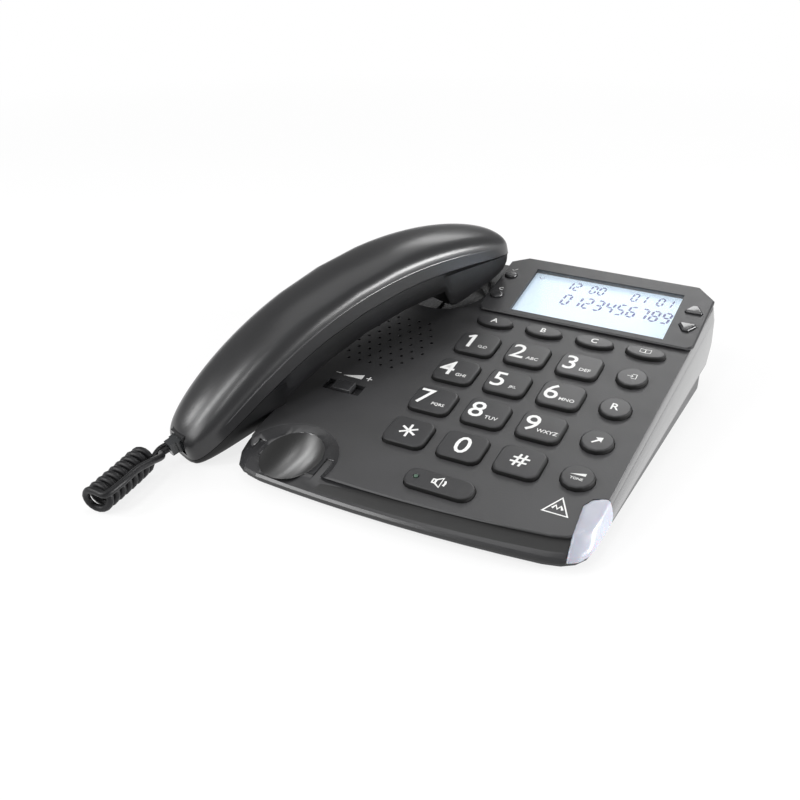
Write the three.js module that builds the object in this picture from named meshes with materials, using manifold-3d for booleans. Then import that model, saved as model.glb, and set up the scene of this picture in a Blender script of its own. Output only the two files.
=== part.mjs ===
// Corded desk telephone with big keys, a display and an arched handset on a curly cord.
// Millimetres, +Z up, +Y to the back; the deck slopes up towards the display.
import * as THREE from "three";
import { mergeVertices } from "three/addons/utils/BufferGeometryUtils.js";
import Module from "manifold-3d";

const wasm = await Module();
wasm.setup();

// Clearances and walls shared by all pieces
const fitGap = 0.3;
const slideGap = 0.35;
const overrun = 1.5;
const caseWall = 2.4;

// Base housing
const deckTilt = THREE.MathUtils.degToRad(9.62);
const deckHeight = 24.8;
const rightTaper = 4.5;
const frontEdgeLeft = 74;
const frontEdge = 69.5;
const frontBow = 5;
const rearEdge = 119;
const cornerFrontLeft = 17;
const cornerFrontRight = 15;
const cornerRear = 7;
const cornerSteps = 4;
const frontSteps = 8;
const seamFrontHeight = 5.6;
const seamRearHeight = 14.6;
const bevelReach = 8.5;
const sideFlare = 2;
const rearOverhang = 4;
const rearUndercut = 4;
const edgeSoftening = 0.8;
const lipDrop = 1.9;
const lipUndercut = 0.5;
const lipLedge = 2.6;
const rearCavityStep = 15;

// Lower housing
const lowerInset = 1.2;
const lowerRearInset = 12;
const lowerFloor = 2.4;
const footStand = 1.8;
const footRadius = 6;
const footRecess = 1;
const footInsetSide = 13;
const footInsetFront = 16;
const footInsetRear = 20;
const footSides = 16;

// Keys
const columnPitch = 27;
const rowPitch = 25.5;
const keyWidth = 20.9;
const keyDepth = 18.3;
const keyCorner = 4;
const keyRise = 2.2;
const keyTravel = 1.5;
const keyDraft = 0.5;
const keyCrown = 0.5;
const keyFlange = 1.1;
const keyFlangeThickness = 1;
const roundKeyDiameter = 15;
const ovalRow = 60.7;
const ovalWidth = 20;
const ovalDepth = 9.6;
const speakerKeyRow = -64.4;
const speakerKeyWidth = 32;
const speakerKeyDepth = 11.5;
const speakerKeyShift = 1;
const lampDiameter = 2;
const lampInset = 5;

// Display panel
const panelFront = 70.4;
const panelDepth = 55;
const panelLeftMargin = 17.1;
const panelRightMargin = 15.6;
const panelOverhang = 0.2;
const panelRise = 1.8;
const panelLean = THREE.MathUtils.degToRad(3);
const panelChamfer = 10;
const panelCorner = 2.5;
const panelEdge = 0.7;
const screenWidth = 82;
const screenDepth = 41;
const screenCentreX = 16.6;
const screenFront = 4;
const panelLeft = screenWidth / 2 - screenCentreX + panelLeftMargin;
const panelRight = screenWidth / 2 + screenCentreX + panelRightMargin;
const rightEdgeRear = panelRight - panelOverhang;
const rightEdgeFront = rightEdgeRear - rightTaper;
const sideColumn = (columnPitch + keyWidth / 2 + rightEdgeFront) / 2;
const windowLedge = 1.2;
const windowRecess = 0.8;
const windowThickness = 1.5;
const moduleThickness = 4.5;
const skirtWall = 1.4;
const skirtDepth = 7;
const panelButtonDiameter = 7;
const panelButtonRise = 1.4;
const leftButtonGap = 11.8;
const rightButtonGap = 8.4;
const leftButtonX = screenWidth / 2 - screenCentreX + leftButtonGap;
const rightButtonX = screenWidth / 2 + screenCentreX + rightButtonGap;
const leftButtonRows = [14, 34.5];
const rightButtonRows = [17, 32.5];

// Ring lens at the front right corner
const lensTop = 44.5;
const lensWidth = 8;
const lensLeft = rightEdgeFront - lensWidth;
const lensSlant = 3.5;
const lensCorner = 7;

// Handset seat, ear cup and volume slider
const earCupRadius = 25;
const earCupGap = 1;
const earCupMargin = 3;
const earCupX = -(panelLeft + earCupGap + earCupRadius);
const leftEdge = earCupMargin + earCupRadius - earCupX;
const earCupV = 87.6;
const earCupDepth = 8.4;
const earCupDraft = 4;
const seatRadius = 25;
const seatOverlap = 0.5;
const seatX = seatRadius - seatOverlap - leftEdge;
const seatV = -73;
const seatDepth = 1.6;
const bowlX = seatX + seatOverlap;
const bowlV = -70;
const bowlRadius = 15.5;
const bowlLength = 35;
const bowlDepth = 6.6;
const bowlLift = 1;
const bowlWall = 1.6;
const notchWidth = 4;
const notchLength = 15;
const notchDepth = 2;
const notchOffset = 18.3;
const notchV = -66;
const plungerWidth = 5;
const plungerDepth = 12;
const plungerRise = 2;
const plungerShift = 2.5;
const plungerX = earCupX - plungerShift;
const plungerForward = 9.6;
const plungerV = earCupV - plungerForward;
const plungerStem = 7;
const sliderInset = 21.9;
const sliderX = sliderInset - leftEdge;
const sliderV = -17.8;
const sliderSlotLength = 20.4;
const sliderSlotWidth = 8;
const sliderTravel = 4.5;
const sliderThumbLength = 10;
const sliderPlate = 1.2;
const sliderRise = 1.6;

// Loudspeaker grille
const grilleInset = 23.5;
const grilleX = grilleInset - leftEdge;
const grilleV = 27;
const grilleWidth = 46;
const grilleLength = 50;
const grillePitch = 6.2;
const grilleHole = 1.9;
const grilleHoleSides = 6;
const speakerRadius = 20;
const speakerRim = 3;
const speakerDepth = 12;
const speakerMagnet = 10;

// Board and key mat
const matThickness = 1.2;
const boardThickness = 1.6;
const boardLeft = 46;
const boardRightMargin = 8.5;
const boardRight = rightEdgeFront - boardRightMargin;
const boardFront = 66.5;
const boardRear = 67;
const boardPostRadius = 2.4;

// Case screws and jacks
const screwHeadRadius = 3;
const screwHeadHeight = 1.3;
const screwShankRadius = 1.5;
const screwBossRadius = 4;
const screwInset = 7.5;
const screwBossHeight = 3.4;
const screwGrip = 5;
const screwRoundSides = 12;
const plugWidth = 7.7;
const plugHeight = 6;
const plugLength = 12;
const plugNose = 3.2;
const latchWidth = 3.2;
const latchThickness = 0.7;
const latchReach = 3;
const jackWall = 1.4;
const jackDepth = 11;
const jackSink = 1.2;
const handsetJackY = 71;
const lineJackX = 30;
const lineJackWidth = 9.8;
const lineJackHeight = 6;
const lineJackDepth = 12;

// Handset
const handsetLength = 212;
const handsetHalfWidth = 19.1;
const handsetTop = 48;
const handsetSag = 28.4;
const handsetCrown = 11.6;
const handsetSide = 7;
const handsetInner = 7.6;
const earDrop = 5.4;
const handsetWall = 2.2;
const handsetStations = 19;
const handsetEndTurn = THREE.MathUtils.degToRad(84);
const endPower = 4.6;
const capCentreInset = 27;
const capReach = 26;
const capBottomShare = 0.72;
const capNarrowing = 0.2;
const earCapsuleRadius = 9;
const earCapsuleHeight = 5;
const micCapsuleRadius = 6;
const micCapsuleHeight = 4;
const weightLength = 50;
const weightWidth = 18;
const weightHeight = 6;
const soundHole = 1.2;
const soundRing = 7;
const mouthGap = 17.5;
const mouthRestX = -(leftEdge + sideFlare + mouthGap);
const mouthRestHeight = 5.3;
const earRestShift = 9.7;
const earRestX = earCupX + earRestShift;
const earRestY = earCupV * Math.cos(deckTilt);
const earRestLift = 7.8;
const earRestHeight = deckHeight + earCupV * Math.sin(deckTilt) + earRestLift;
const handsetJackLift = 11.4;

// Curly cord, with its route chosen by hand
const wireDiameter = 3.3;
const curlRadius = 5.3;
const curlPitch = 4.4;
const curlSteps = 8;
const curlSides = 5;
const tailSides = 8;
const coilRest = 0.4;
const coilRoute = [
  [-127.8, -133.6],
  [-129.6, -118],
  [-131.6, -104],
  [-134.4, -92],
  [-136.2, -82],
  [-137.3, -72],
  [-136.8, -62],
  [-136.8, -52],
  [-138.5, -40],
  [-143.5, -20],
  [-147.5, 2],
  [-148, 26],
  [-139, 54],
];
const pulledRadius = 0.6;
const pulledPitch = 22;
const pulledStart = 34;
const pulledEnd = 92;
const pulledEase = 11;
const handsetTailRoute = [
  [-124.6, -94.5, 9],
  [-121.8, -104, 12.4],
  [-121, -114, 14],
  [-119.5, -125, 14],
];
const baseTailRoute = [
  [-113, 72, 9.5],
  [-122, 70, 11.5],
];

// Looks
const charcoal = new THREE.MeshStandardMaterial({ color: 0x4a4a4c, roughness: 0.5, metalness: 0 });
const darkKey = new THREE.MeshStandardMaterial({ color: 0x414143, roughness: 0.45, metalness: 0 });
const gloss = new THREE.MeshStandardMaterial({ color: 0x3a3a3c, roughness: 0.3, metalness: 0 });
const milky = new THREE.MeshStandardMaterial({ color: 0xdfe2f2, roughness: 0.25, metalness: 0 });
const clear = new THREE.MeshStandardMaterial({ color: 0xe6f3fb, roughness: 0.08, metalness: 0 });
const boardGreen = new THREE.MeshStandardMaterial({ color: 0x2d5a3a, roughness: 0.6, metalness: 0 });
const rubber = new THREE.MeshStandardMaterial({ color: 0x1c1c1c, roughness: 0.9, metalness: 0 });
const steel = new THREE.MeshStandardMaterial({ color: 0x9a9a9c, roughness: 0.35, metalness: 1 });
const cordBlack = new THREE.MeshStandardMaterial({ color: 0x262627, roughness: 0.5, metalness: 0 });
const lampGreen = new THREE.MeshStandardMaterial({ color: 0x7fae8c, roughness: 0.3, metalness: 0 });

const sideDraw = Math.tan(deckTilt);

// Turns a closed geometry into a solid that can be cut and joined
function solid(geometry) {
  const bare = geometry.clone();
  bare.deleteAttribute("normal");
  bare.deleteAttribute("uv");
  const merged = mergeVertices(bare, 1e-5);
  const corners = merged.index.array;
  const faces = [];
  for (let i = 0; i < corners.length; i += 3) {
    const [a, b, c] = corners.slice(i, i + 3);
    if (a !== b && b !== c && c !== a) {
      faces.push(a, b, c);
    }
  }
  const data = new wasm.Mesh({
    numProp: 3,
    vertProperties: Float32Array.from(merged.attributes.position.array),
    triVerts: Uint32Array.from(faces),
  });
  return new wasm.Manifold(data);
}

// Turns a solid back into a geometry
function geometryOf(body) {
  const data = body.getMesh();
  const geometry = new THREE.BufferGeometry();
  const positions = new Float32Array(data.vertProperties);
  geometry.setAttribute("position", new THREE.BufferAttribute(positions, 3));
  geometry.setIndex(new THREE.BufferAttribute(new Uint32Array(data.triVerts), 1));
  geometry.computeVertexNormals();
  return geometry;
}

// Skin through rings of equal count, each counter-clockwise seen from the last one
function loftGeometry(rings) {
  const count = rings[0].length;
  const positions = rings.flat(2);
  const faces = [];
  for (let ring = 0; ring < rings.length - 1; ring += 1) {
    for (let i = 0; i < count; i += 1) {
      const next = (i + 1) % count;
      const a = ring * count + i;
      const b = ring * count + next;
      const c = b + count;
      const d = a + count;
      faces.push(a, b, c, a, c, d);
    }
  }
  const top = (rings.length - 1) * count;
  for (let i = 1; i < count - 1; i += 1) {
    faces.push(0, i + 1, i);
    faces.push(top, top + i, top + i + 1);
  }
  const geometry = new THREE.BufferGeometry();
  geometry.setAttribute("position", new THREE.BufferAttribute(new Float32Array(positions), 3));
  geometry.setIndex(faces);
  return geometry;
}

function loft(rings) {
  return solid(loftGeometry(rings));
}

// Rounded rectangle outline, counter-clockwise, with its front side bowed out
function roundedOutline(width, depth, radius, steps = 3, bow = 0) {
  const points = [];
  const corners = [
    [1, -1, -Math.PI / 2],
    [1, 1, 0],
    [-1, 1, Math.PI / 2],
    [-1, -1, Math.PI],
  ];
  for (const [sx, sy, start] of corners) {
    for (let i = 0; i <= steps; i += 1) {
      const angle = start + (i / steps) * (Math.PI / 2);
      const x = sx * (width / 2 - radius) + radius * Math.cos(angle);
      const y = sy * (depth / 2 - radius) + radius * Math.sin(angle);
      const bowed = y < 0 ? bow * (1 - (x / (width / 2)) ** 2) : 0;
      points.push([x, y - bowed]);
    }
  }
  return points;
}

function ovalOutline(width, depth, sides) {
  const points = [];
  for (let i = 0; i < sides; i += 1) {
    const angle = (i / sides) * 2 * Math.PI;
    points.push([(width / 2) * Math.cos(angle), (depth / 2) * Math.sin(angle)]);
  }
  return points;
}

function grown(outline, amount) {
  const halfX = Math.max(...outline.map(([x]) => Math.abs(x)));
  const halfY = Math.max(...outline.map(([, y]) => Math.abs(y)));
  return outline.map(([x, y]) => [x * (1 + amount / halfX), y * (1 + amount / halfY)]);
}

// Upright prism of an outline between two heights
function prism(outline, low, high, x = 0, y = 0) {
  const ring = (z) => outline.map(([px, py]) => [px + x, py + y, z]);
  return loft([ring(low), ring(high)]);
}

function box(width, depth, height, x, y, z) {
  return solid(new THREE.BoxGeometry(width, depth, height).translate(x, y, z));
}

// Upright round piece from a profile of radius and height pairs
function turned(profile, sides) {
  const points = profile.map(([r, z]) => new THREE.Vector2(r, z));
  return solid(new THREE.LatheGeometry(points, sides).rotateX(Math.PI / 2));
}

function rod(radius, low, high, sides = screwRoundSides) {
  return turned([[0, low], [radius, low], [radius, high], [0, high]], sides);
}

function subtractAll(body, cutters) {
  return cutters.reduce((left, cutter) => left.subtract(cutter), body);
}

// Frames that pieces are placed in
const phone = new THREE.Group();
const deck = new THREE.Group();
deck.rotation.x = deckTilt;
deck.position.z = deckHeight;
const panel = new THREE.Group();
panel.rotation.x = panelLean;
panel.position.set(0, panelFront, panelRise);
deck.add(panel);
const handset = new THREE.Group();
phone.add(deck, handset);
phone.updateMatrixWorld(true);

function inFrame(body, frame) {
  return body.transform(frame.matrixWorld.elements);
}

function addPiece(parent, name, body, look, x = 0, y = 0, z = 0) {
  const geometry = body.isBufferGeometry ? body : geometryOf(body);
  const piece = new THREE.Mesh(geometry, look.clone());
  piece.name = name;
  piece.position.set(x, y, z);
  parent.add(piece);
  return piece;
}

// Plan of the base housing, grown or shrunk at its side, front and rear
function basePlan(side, front, rear) {
  const left = -(leftEdge + side);
  const near = -(frontEdge + front);
  const nearLeft = -(frontEdgeLeft + front);
  const far = rearEdge + rear;
  const rightNear = rightEdgeFront + side;
  const rightFar = rightEdgeRear + side;
  const frontY = (x) => {
    const t = (x - left) / (rightNear - left);
    return THREE.MathUtils.lerp(nearLeft, near, t) - 4 * frontBow * t * (1 - t);
  };
  const points = [];
  const corner = (from, at, to) => {
    for (let i = 0; i <= cornerSteps; i += 1) {
      const t = i / cornerSteps;
      const along = (k) => (1 - t) ** 2 * from[k] + 2 * t * (1 - t) * at[k] + t ** 2 * to[k];
      points.push([along(0), along(1)]);
    }
  };
  const leftStart = left + cornerFrontLeft;
  const rightEnd = rightNear - cornerFrontRight;
  corner([left, nearLeft + cornerFrontLeft], [left, nearLeft], [leftStart, frontY(leftStart)]);
  for (let i = 1; i < frontSteps; i += 1) {
    const x = THREE.MathUtils.lerp(leftStart, rightEnd, i / frontSteps);
    points.push([x, frontY(x)]);
  }
  corner([rightEnd, frontY(rightEnd)], [rightNear, near], [rightNear, near + cornerFrontRight]);
  corner([rightFar, far - cornerRear], [rightFar, far], [rightFar - cornerRear, far]);
  corner([left + cornerRear, far], [left, far], [left, far - cornerRear]);
  return points;
}

const seamSlope = (seamRearHeight - seamFrontHeight) / (rearEdge + frontEdge);
const seamHeight = (y) => seamFrontHeight + seamSlope * (y + frontEdge);
const deckTop = (y) => deckHeight + sideDraw * y;

// One ring of the housing at a share of the height between seam and deck
function housingRing(level, inset, drop) {
  const plan = basePlan(level.side - inset, level.front - inset, level.rear - inset);
  return plan.map(([x, y]) => {
    const z = THREE.MathUtils.lerp(seamHeight(y), deckTop(y), level.heightShare) - drop;
    return [x, y, z];
  });
}

// Levels of the housing from seam to deck, with a groove under the front lip
const frontHousing = deckTop(-frontEdge) - seamHeight(-frontEdge);
const grooveShare = 1 - lipDrop / frontHousing;
const ledgeShare = grooveShare * 0.92;
const housingLevels = [
  { heightShare: 0, front: bevelReach, side: sideFlare, rear: -rearUndercut },
  { heightShare: 0.3, front: bevelReach * 0.86, side: sideFlare, rear: rearOverhang * 0.6 },
  { heightShare: ledgeShare, front: lipLedge, side: sideFlare * 0.68, rear: rearOverhang * 0.85 },
  { heightShare: grooveShare, front: -lipUndercut, side: sideFlare * 0.55, rear: rearOverhang * 0.69 },
  { heightShare: 0.94, front: edgeSoftening, side: edgeSoftening * 0.6, rear: edgeSoftening },
  { heightShare: 1, front: 0, side: 0, rear: 0 },
];
const lensLevels = housingLevels.filter((level) => level.heightShare !== grooveShare);

function housingOuter(levels) {
  return loft(levels.map((level) => housingRing(level, 0, 0)));
}

function housingCavity() {
  const bottom = { ...housingLevels[0], rear: caseWall - rearCavityStep };
  const low = { ...housingLevels[1], rear: caseWall - rearCavityStep };
  return loft([
    housingRing(bottom, caseWall, overrun),
    housingRing(low, caseWall, 0),
    housingRing({ ...housingLevels[2], front: 0 }, caseWall, caseWall / 2),
    housingRing({ heightShare: 1, front: 0, side: 0, rear: 0 }, caseWall, caseWall),
  ]);
}

// Area of the front right corner that the ring lens takes
function lensBlock(gap) {
  const top = -(lensTop - gap);
  const left = lensLeft - gap;
  const right = rightEdgeFront + bevelReach + overrun;
  const near = -(frontEdgeLeft + frontBow + bevelReach + overrun);
  const outline = [
    [left + lensSlant, near],
    [right, near],
    [right, top],
    [left + lensCorner, top],
    [left + lensCorner / 3, top - lensCorner / 3],
    [left, top - lensCorner],
  ];
  const floor = seamFrontHeight - overrun;
  return prism(outline, floor, deckTop(top) + overrun);
}

// Key outlines, by kind
const digitOutline = roundedOutline(keyWidth, keyDepth, keyCorner, 3, keyCrown);
const roundOutline = ovalOutline(roundKeyDiameter, roundKeyDiameter, 14);
const ovalKeyOutline = ovalOutline(ovalWidth, ovalDepth, 16);
const speakerOutline = roundedOutline(speakerKeyWidth, speakerKeyDepth, speakerKeyDepth * 0.42, 4, keyCrown);
const smallOutline = ovalOutline(panelButtonDiameter, panelButtonDiameter * 0.86, 10);
const arrowShares = [
  [-0.55, -0.42],
  [0.55, -0.42],
  [0.62, -0.2],
  [0.2, 0.5],
  [-0.2, 0.5],
  [-0.62, -0.2],
];
const upOutline = arrowShares.map(([x, y]) => [x * panelButtonDiameter, y * panelButtonDiameter]);
const downOutline = upOutline.map(([x, y]) => [-x, -y]);

const keyFlangeTop = -(caseWall + fitGap);
const keyBottom = keyFlangeTop - keyFlangeThickness;

// A key with its flange under the deck, drawn sides and softly rounded top
function keyBody(outline, rise, flangeTop, flangeBottom) {
  const ring = (shape, z) => shape.map(([x, y]) => [x, y, z]);
  const flange = grown(outline, keyFlange);
  const foot = prism(flange, flangeBottom, flangeTop);
  const top = loft([
    ring(outline, flangeBottom),
    ring(outline, rise - keyCrown),
    ring(grown(outline, -keyDraft * 2), rise),
  ]);
  return foot.add(top);
}

const keys = [];
const digitNames = ["key_1", "key_2", "key_3", "key_4", "key_5", "key_6", "key_7", "key_8", "key_9",
  "key_star", "key_0", "key_hash"];
digitNames.forEach((name, i) => {
  const x = ((i % 3) - 1) * columnPitch;
  const y = (1.5 - Math.floor(i / 3)) * rowPitch;
  keys.push({ name, x, y, outline: digitOutline });
});
["store_key", "recall_key", "redial_key", "mute_key"].forEach((name, i) => {
  keys.push({ name, x: sideColumn, y: (1.5 - i) * rowPitch, outline: roundOutline });
});
["memory_key_a", "memory_key_b", "memory_key_c", "phonebook_key"].forEach((name, i) => {
  const x = i < 3 ? (i - 1) * columnPitch : sideColumn;
  keys.push({ name, x, y: ovalRow, outline: ovalKeyOutline });
});
keys.push({ name: "speaker_key", x: speakerKeyShift, y: speakerKeyRow, outline: speakerOutline });

const panelButtons = [
  { name: "menu_button", x: -leftButtonX, y: leftButtonRows[1], outline: smallOutline },
  { name: "clear_button", x: -leftButtonX, y: leftButtonRows[0], outline: smallOutline },
  { name: "up_button", x: rightButtonX, y: rightButtonRows[1], outline: upOutline },
  { name: "down_button", x: rightButtonX, y: rightButtonRows[0], outline: downOutline },
];

// Display panel: plate on the deck, skirt through the deck and a pocket for the window
const screenY = screenFront + screenDepth / 2;
const skirtWidth = screenWidth + 2 * (windowLedge + skirtWall);
const skirtLength = screenDepth + 2 * (windowLedge + skirtWall);
const panelUnder = (y) => -panelRise - y * Math.tan(panelLean);
function panelOutline(inset) {
  const left = -panelLeft + inset;
  const right = panelRight - inset;
  const near = inset;
  const far = panelDepth - inset;
  return [
    [left + panelCorner, near],
    [right - panelCorner, near],
    [right, near + panelCorner],
    [right, far - panelChamfer],
    [right - panelChamfer, far],
    [left + panelChamfer * 0.8, far],
    [left, far - panelChamfer * 0.6],
    [left, near + panelCorner],
  ];
}
function displayPanel() {
  const plateRings = [
    panelOutline(panelEdge / 2).map(([x, y]) => [x, y, panelUnder(y) + fitGap]),
    panelOutline(0).map(([x, y]) => [x, y, panelUnder(y) / 2]),
    panelOutline(0).map(([x, y]) => [x, y, -panelEdge]),
    panelOutline(panelEdge).map(([x, y]) => [x, y, 0]),
  ];
  const skirtBottom = -skirtDepth;
  const skirtZ = skirtBottom / 2 - overrun / 2;
  const skirt = box(skirtWidth, skirtLength, skirtDepth, screenCentreX, screenY, skirtZ);
  const pocketTop = -windowRecess;
  const pocketHeight = skirtDepth + 2 * overrun;
  const pocket = box(
    screenWidth + 2 * (windowLedge + fitGap),
    screenDepth + 2 * (windowLedge + fitGap),
    pocketHeight,
    screenCentreX,
    screenY,
    pocketTop - pocketHeight / 2,
  );
  const opening = box(screenWidth, screenDepth, overrun * 2, screenCentreX, screenY, 0);
  const buttonHoles = panelButtons.map(({ x, y, outline }) => {
    const hole = grown(outline, slideGap);
    return prism(hole, panelUnder(panelDepth) - overrun, overrun, x, y);
  });
  return subtractAll(loft(plateRings).add(skirt), [pocket, opening, ...buttonHoles]);
}

// Holes of the loudspeaker grille on a staggered grid inside a rounded square
function grilleHoles() {
  const holes = [];
  const rise = grillePitch * Math.sin(Math.PI / 3);
  const rows = Math.floor(grilleLength / 2 / rise);
  const columns = Math.ceil(grilleWidth / 2 / grillePitch);
  for (let row = -rows; row <= rows; row += 1) {
    for (let column = -columns; column <= columns; column += 1) {
      const x = (column + (row % 2 === 0 ? 0 : 0.5)) * grillePitch;
      const y = row * rise;
      const spread = Math.abs((2 * x) / grilleWidth) ** 3 + Math.abs((2 * y) / grilleLength) ** 3;
      if (spread <= 1) {
        holes.push([x + grilleX, y + grilleV]);
      }
    }
  }
  return holes;
}

const boardTop = keyBottom - keyTravel - 2 * fitGap - matThickness;
const postColumn = (columnPitch + keyWidth / 2 + sideColumn - roundKeyDiameter / 2) / 2;
const postRow = (1.5 * rowPitch + keyDepth / 2 + ovalRow - ovalDepth / 2) / 2;
const screwPlaces = [
  [-leftEdge + screwInset, -frontEdge * 0.6],
  [rightEdgeFront - screwInset + screwBossRadius, -rowPitch],
  [-leftEdge + screwInset, handsetJackY - plugWidth - screwBossRadius * 1.6],
  [rightEdgeRear - screwInset, postRow - screwBossRadius],
];
const boardPosts = [
  [-postColumn, postRow],
  [postColumn, postRow],
  [-postColumn, 0],
  [postColumn, -postRow],
];

// Upper housing with its deck openings, seat, cups, grille and bosses
function upperCase() {
  const seat = turned(
    [
      [0, -seatDepth],
      [seatRadius * 0.7, -seatDepth * 0.9],
      [seatRadius * 0.93, -seatDepth * 0.35],
      [seatRadius, 0],
      [seatRadius, overrun],
      [0, overrun],
    ],
    28,
  ).translate([seatX, seatV, 0]);
  const bowlShape = (grow) => {
    const ball = new THREE.SphereGeometry(1, 24, 16);
    ball.scale(bowlRadius + grow, bowlLength / 2 + grow, bowlDepth + bowlLift + grow);
    return solid(ball).translate([bowlX, bowlV, bowlLift]);
  };
  const cupShape = (grow) => turned(
    [
      [0, -earCupDepth - grow],
      [earCupRadius - earCupDraft + grow, -earCupDepth - grow],
      [earCupRadius + grow, overrun - grow],
      [0, overrun - grow],
    ],
    28,
  ).translate([earCupX, earCupV, 0]);
  const notches = [-1, 1].map((side) => {
    const x = bowlX + side * notchOffset;
    return box(notchWidth, notchLength, notchDepth * 2, x, notchV - notchLength / 2, 0);
  });
  const skirtFrame = box(
    skirtWidth + 2 * fitGap,
    skirtLength + 2 * fitGap,
    caseWall * 6,
    screenCentreX,
    screenY,
    -caseWall,
  );
  const keyHoles = keys.map(({ x, y, outline }) => {
    return prism(grown(outline, slideGap), -caseWall - overrun, overrun, x, y);
  });
  const grille = grilleHoles().map(([x, y]) => {
    const round = ovalOutline(grilleHole, grilleHole, grilleHoleSides);
    return prism(round, -caseWall - overrun, overrun, x, y);
  });
  const sliderSlot = roundedOutline(sliderSlotLength, sliderSlotWidth, slideGap, 1);
  const slot = prism(sliderSlot, -caseWall - overrun, overrun, sliderX, sliderV);
  const plungerOutline = roundedOutline(plungerWidth + 2 * slideGap, plungerDepth + 2 * slideGap, 1, 1);
  const plungerHole = prism(plungerOutline, -earCupDepth - caseWall - overrun, 0, plungerX, plungerV);
  const buttonWells = panelButtons.map(({ x, y }) => {
    const well = panelButtonDiameter + 2 * (keyFlange + overrun);
    return box(well, well, caseWall * 4, x, panelFront + y, -caseWall / 2);
  });
  const cuts = [seat, bowlShape(0), cupShape(0), ...notches, ...keyHoles, ...grille, slot, plungerHole,
    ...buttonWells];
  const keptWalls = [bowlShape(bowlWall), cupShape(caseWall * 0.8)];
  const cavity = subtractAll(housingCavity(), keptWalls.map((body) => inFrame(body, deck)));
  const shell = housingOuter(housingLevels).subtract(cavity).subtract(lensBlock(fitGap));
  const posts = boardPosts.map(([x, y]) => {
    return inFrame(rod(boardPostRadius, boardTop + fitGap, -caseWall / 2, 10).translate([x, y, 0]), deck);
  });
  const bosses = screwPlaces.map(([x, y]) => {
    const low = footStand + lowerFloor + screwBossHeight + fitGap;
    const pilot = screwShankRadius + fitGap;
    const boss = rod(screwBossRadius, low, deckTop(y) - caseWall / 2, 12);
    return boss.subtract(rod(pilot, low - overrun, low + screwGrip, 12)).translate([x, y, 0]);
  });
  const joined = [...posts, ...bosses].reduce((body, part) => body.add(part), shell);
  return subtractAll(joined, cuts.map((body) => inFrame(body, deck))).subtract(inFrame(skirtFrame, panel));
}

const lowerPlan = (grow) => basePlan(
  grow + sideFlare - lowerInset,
  grow + bevelReach - lowerInset,
  grow - lowerRearInset,
);
const lowerLeft = -(leftEdge - lowerInset + sideFlare);
const lowerRear = rearEdge - lowerRearInset;
const jackFloor = footStand + lowerFloor + fitGap;
const plugCentreHeight = jackFloor + jackWall + plugHeight / 2;
const feet = [
  [-leftEdge + footInsetSide, -frontEdge + footInsetFront],
  [rightEdgeFront - footInsetSide, -frontEdge + footInsetFront],
  [-leftEdge + footInsetSide, lowerRear - footInsetRear],
  [rightEdgeRear - footInsetSide, lowerRear - footInsetRear],
];

// Lower housing: a tray with foot recesses, screw pillars and jack openings
function lowerCase() {
  const ring = (grow, height) => lowerPlan(grow).map(([x, y]) => [x, y, height(y)]);
  const outer = loft([
    ring(-caseWall / 2, () => footStand),
    ring(0, () => footStand + caseWall / 2),
    ring(0, (y) => seamHeight(y) - fitGap),
  ]);
  const inner = loft([
    ring(-caseWall, () => footStand + lowerFloor),
    ring(-caseWall, (y) => seamHeight(y) + overrun),
  ]);
  const pillars = screwPlaces.map(([x, y]) => {
    const top = footStand + lowerFloor + screwBossHeight;
    return rod(screwBossRadius, footStand + lowerFloor / 2, Math.min(top, seamHeight(y) + fitGap), 12)
      .translate([x, y, 0]);
  });
  const screwHoles = screwPlaces.map(([x, y]) => {
    const shank = rod(screwShankRadius + fitGap, footStand - overrun, seamRearHeight + overrun, 12);
    const head = rod(screwHeadRadius + fitGap, footStand - overrun, footStand + screwHeadHeight + fitGap, 12);
    return shank.add(head).translate([x, y, 0]);
  });
  const recesses = feet.map(([x, y]) => {
    const recess = rod(footRadius + fitGap, footStand - overrun, footStand + footRecess, footSides);
    return recess.translate([x, y, 0]);
  });
  const plugWay = box(
    caseWall * 4,
    plugWidth + 2 * fitGap,
    plugHeight + 2 * fitGap,
    lowerLeft,
    handsetJackY,
    plugCentreHeight,
  );
  const lineWay = box(
    lineJackWidth,
    caseWall * 4,
    lineJackHeight,
    lineJackX,
    lowerRear,
    jackFloor + jackWall + lineJackHeight / 2,
  );
  const body = pillars.reduce((whole, pillar) => whole.add(pillar), outer.subtract(inner));
  return subtractAll(body, [...screwHoles, ...recesses, plugWay, lineWay]);
}

// Pieces of the base
addPiece(phone, "upper_case", upperCase(), charcoal);
addPiece(phone, "lower_case", lowerCase(), charcoal);

const lensHollow = housingCavity();
const lensBody = housingOuter(lensLevels).intersect(lensBlock(0)).subtract(lensHollow);
addPiece(phone, "ring_lens", lensBody, milky);

for (const key of keys) {
  let body = keyBody(key.outline, keyRise, keyFlangeTop, keyBottom);
  if (key.name === "speaker_key") {
    const lampX = lampInset - speakerKeyWidth / 2;
    const lampHole = rod(lampDiameter / 2 + fitGap, keyBottom - overrun, keyRise + overrun, 10);
    body = body.subtract(lampHole.translate([lampX, 0, 0]));
    const lamp = rod(lampDiameter / 2, keyBottom, keyRise, 10);
    addPiece(deck, "speaker_lamp", lamp, lampGreen, key.x + lampX, key.y, 0);
  }
  addPiece(deck, key.name, body, darkKey, key.x, key.y, 0);
}

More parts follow.
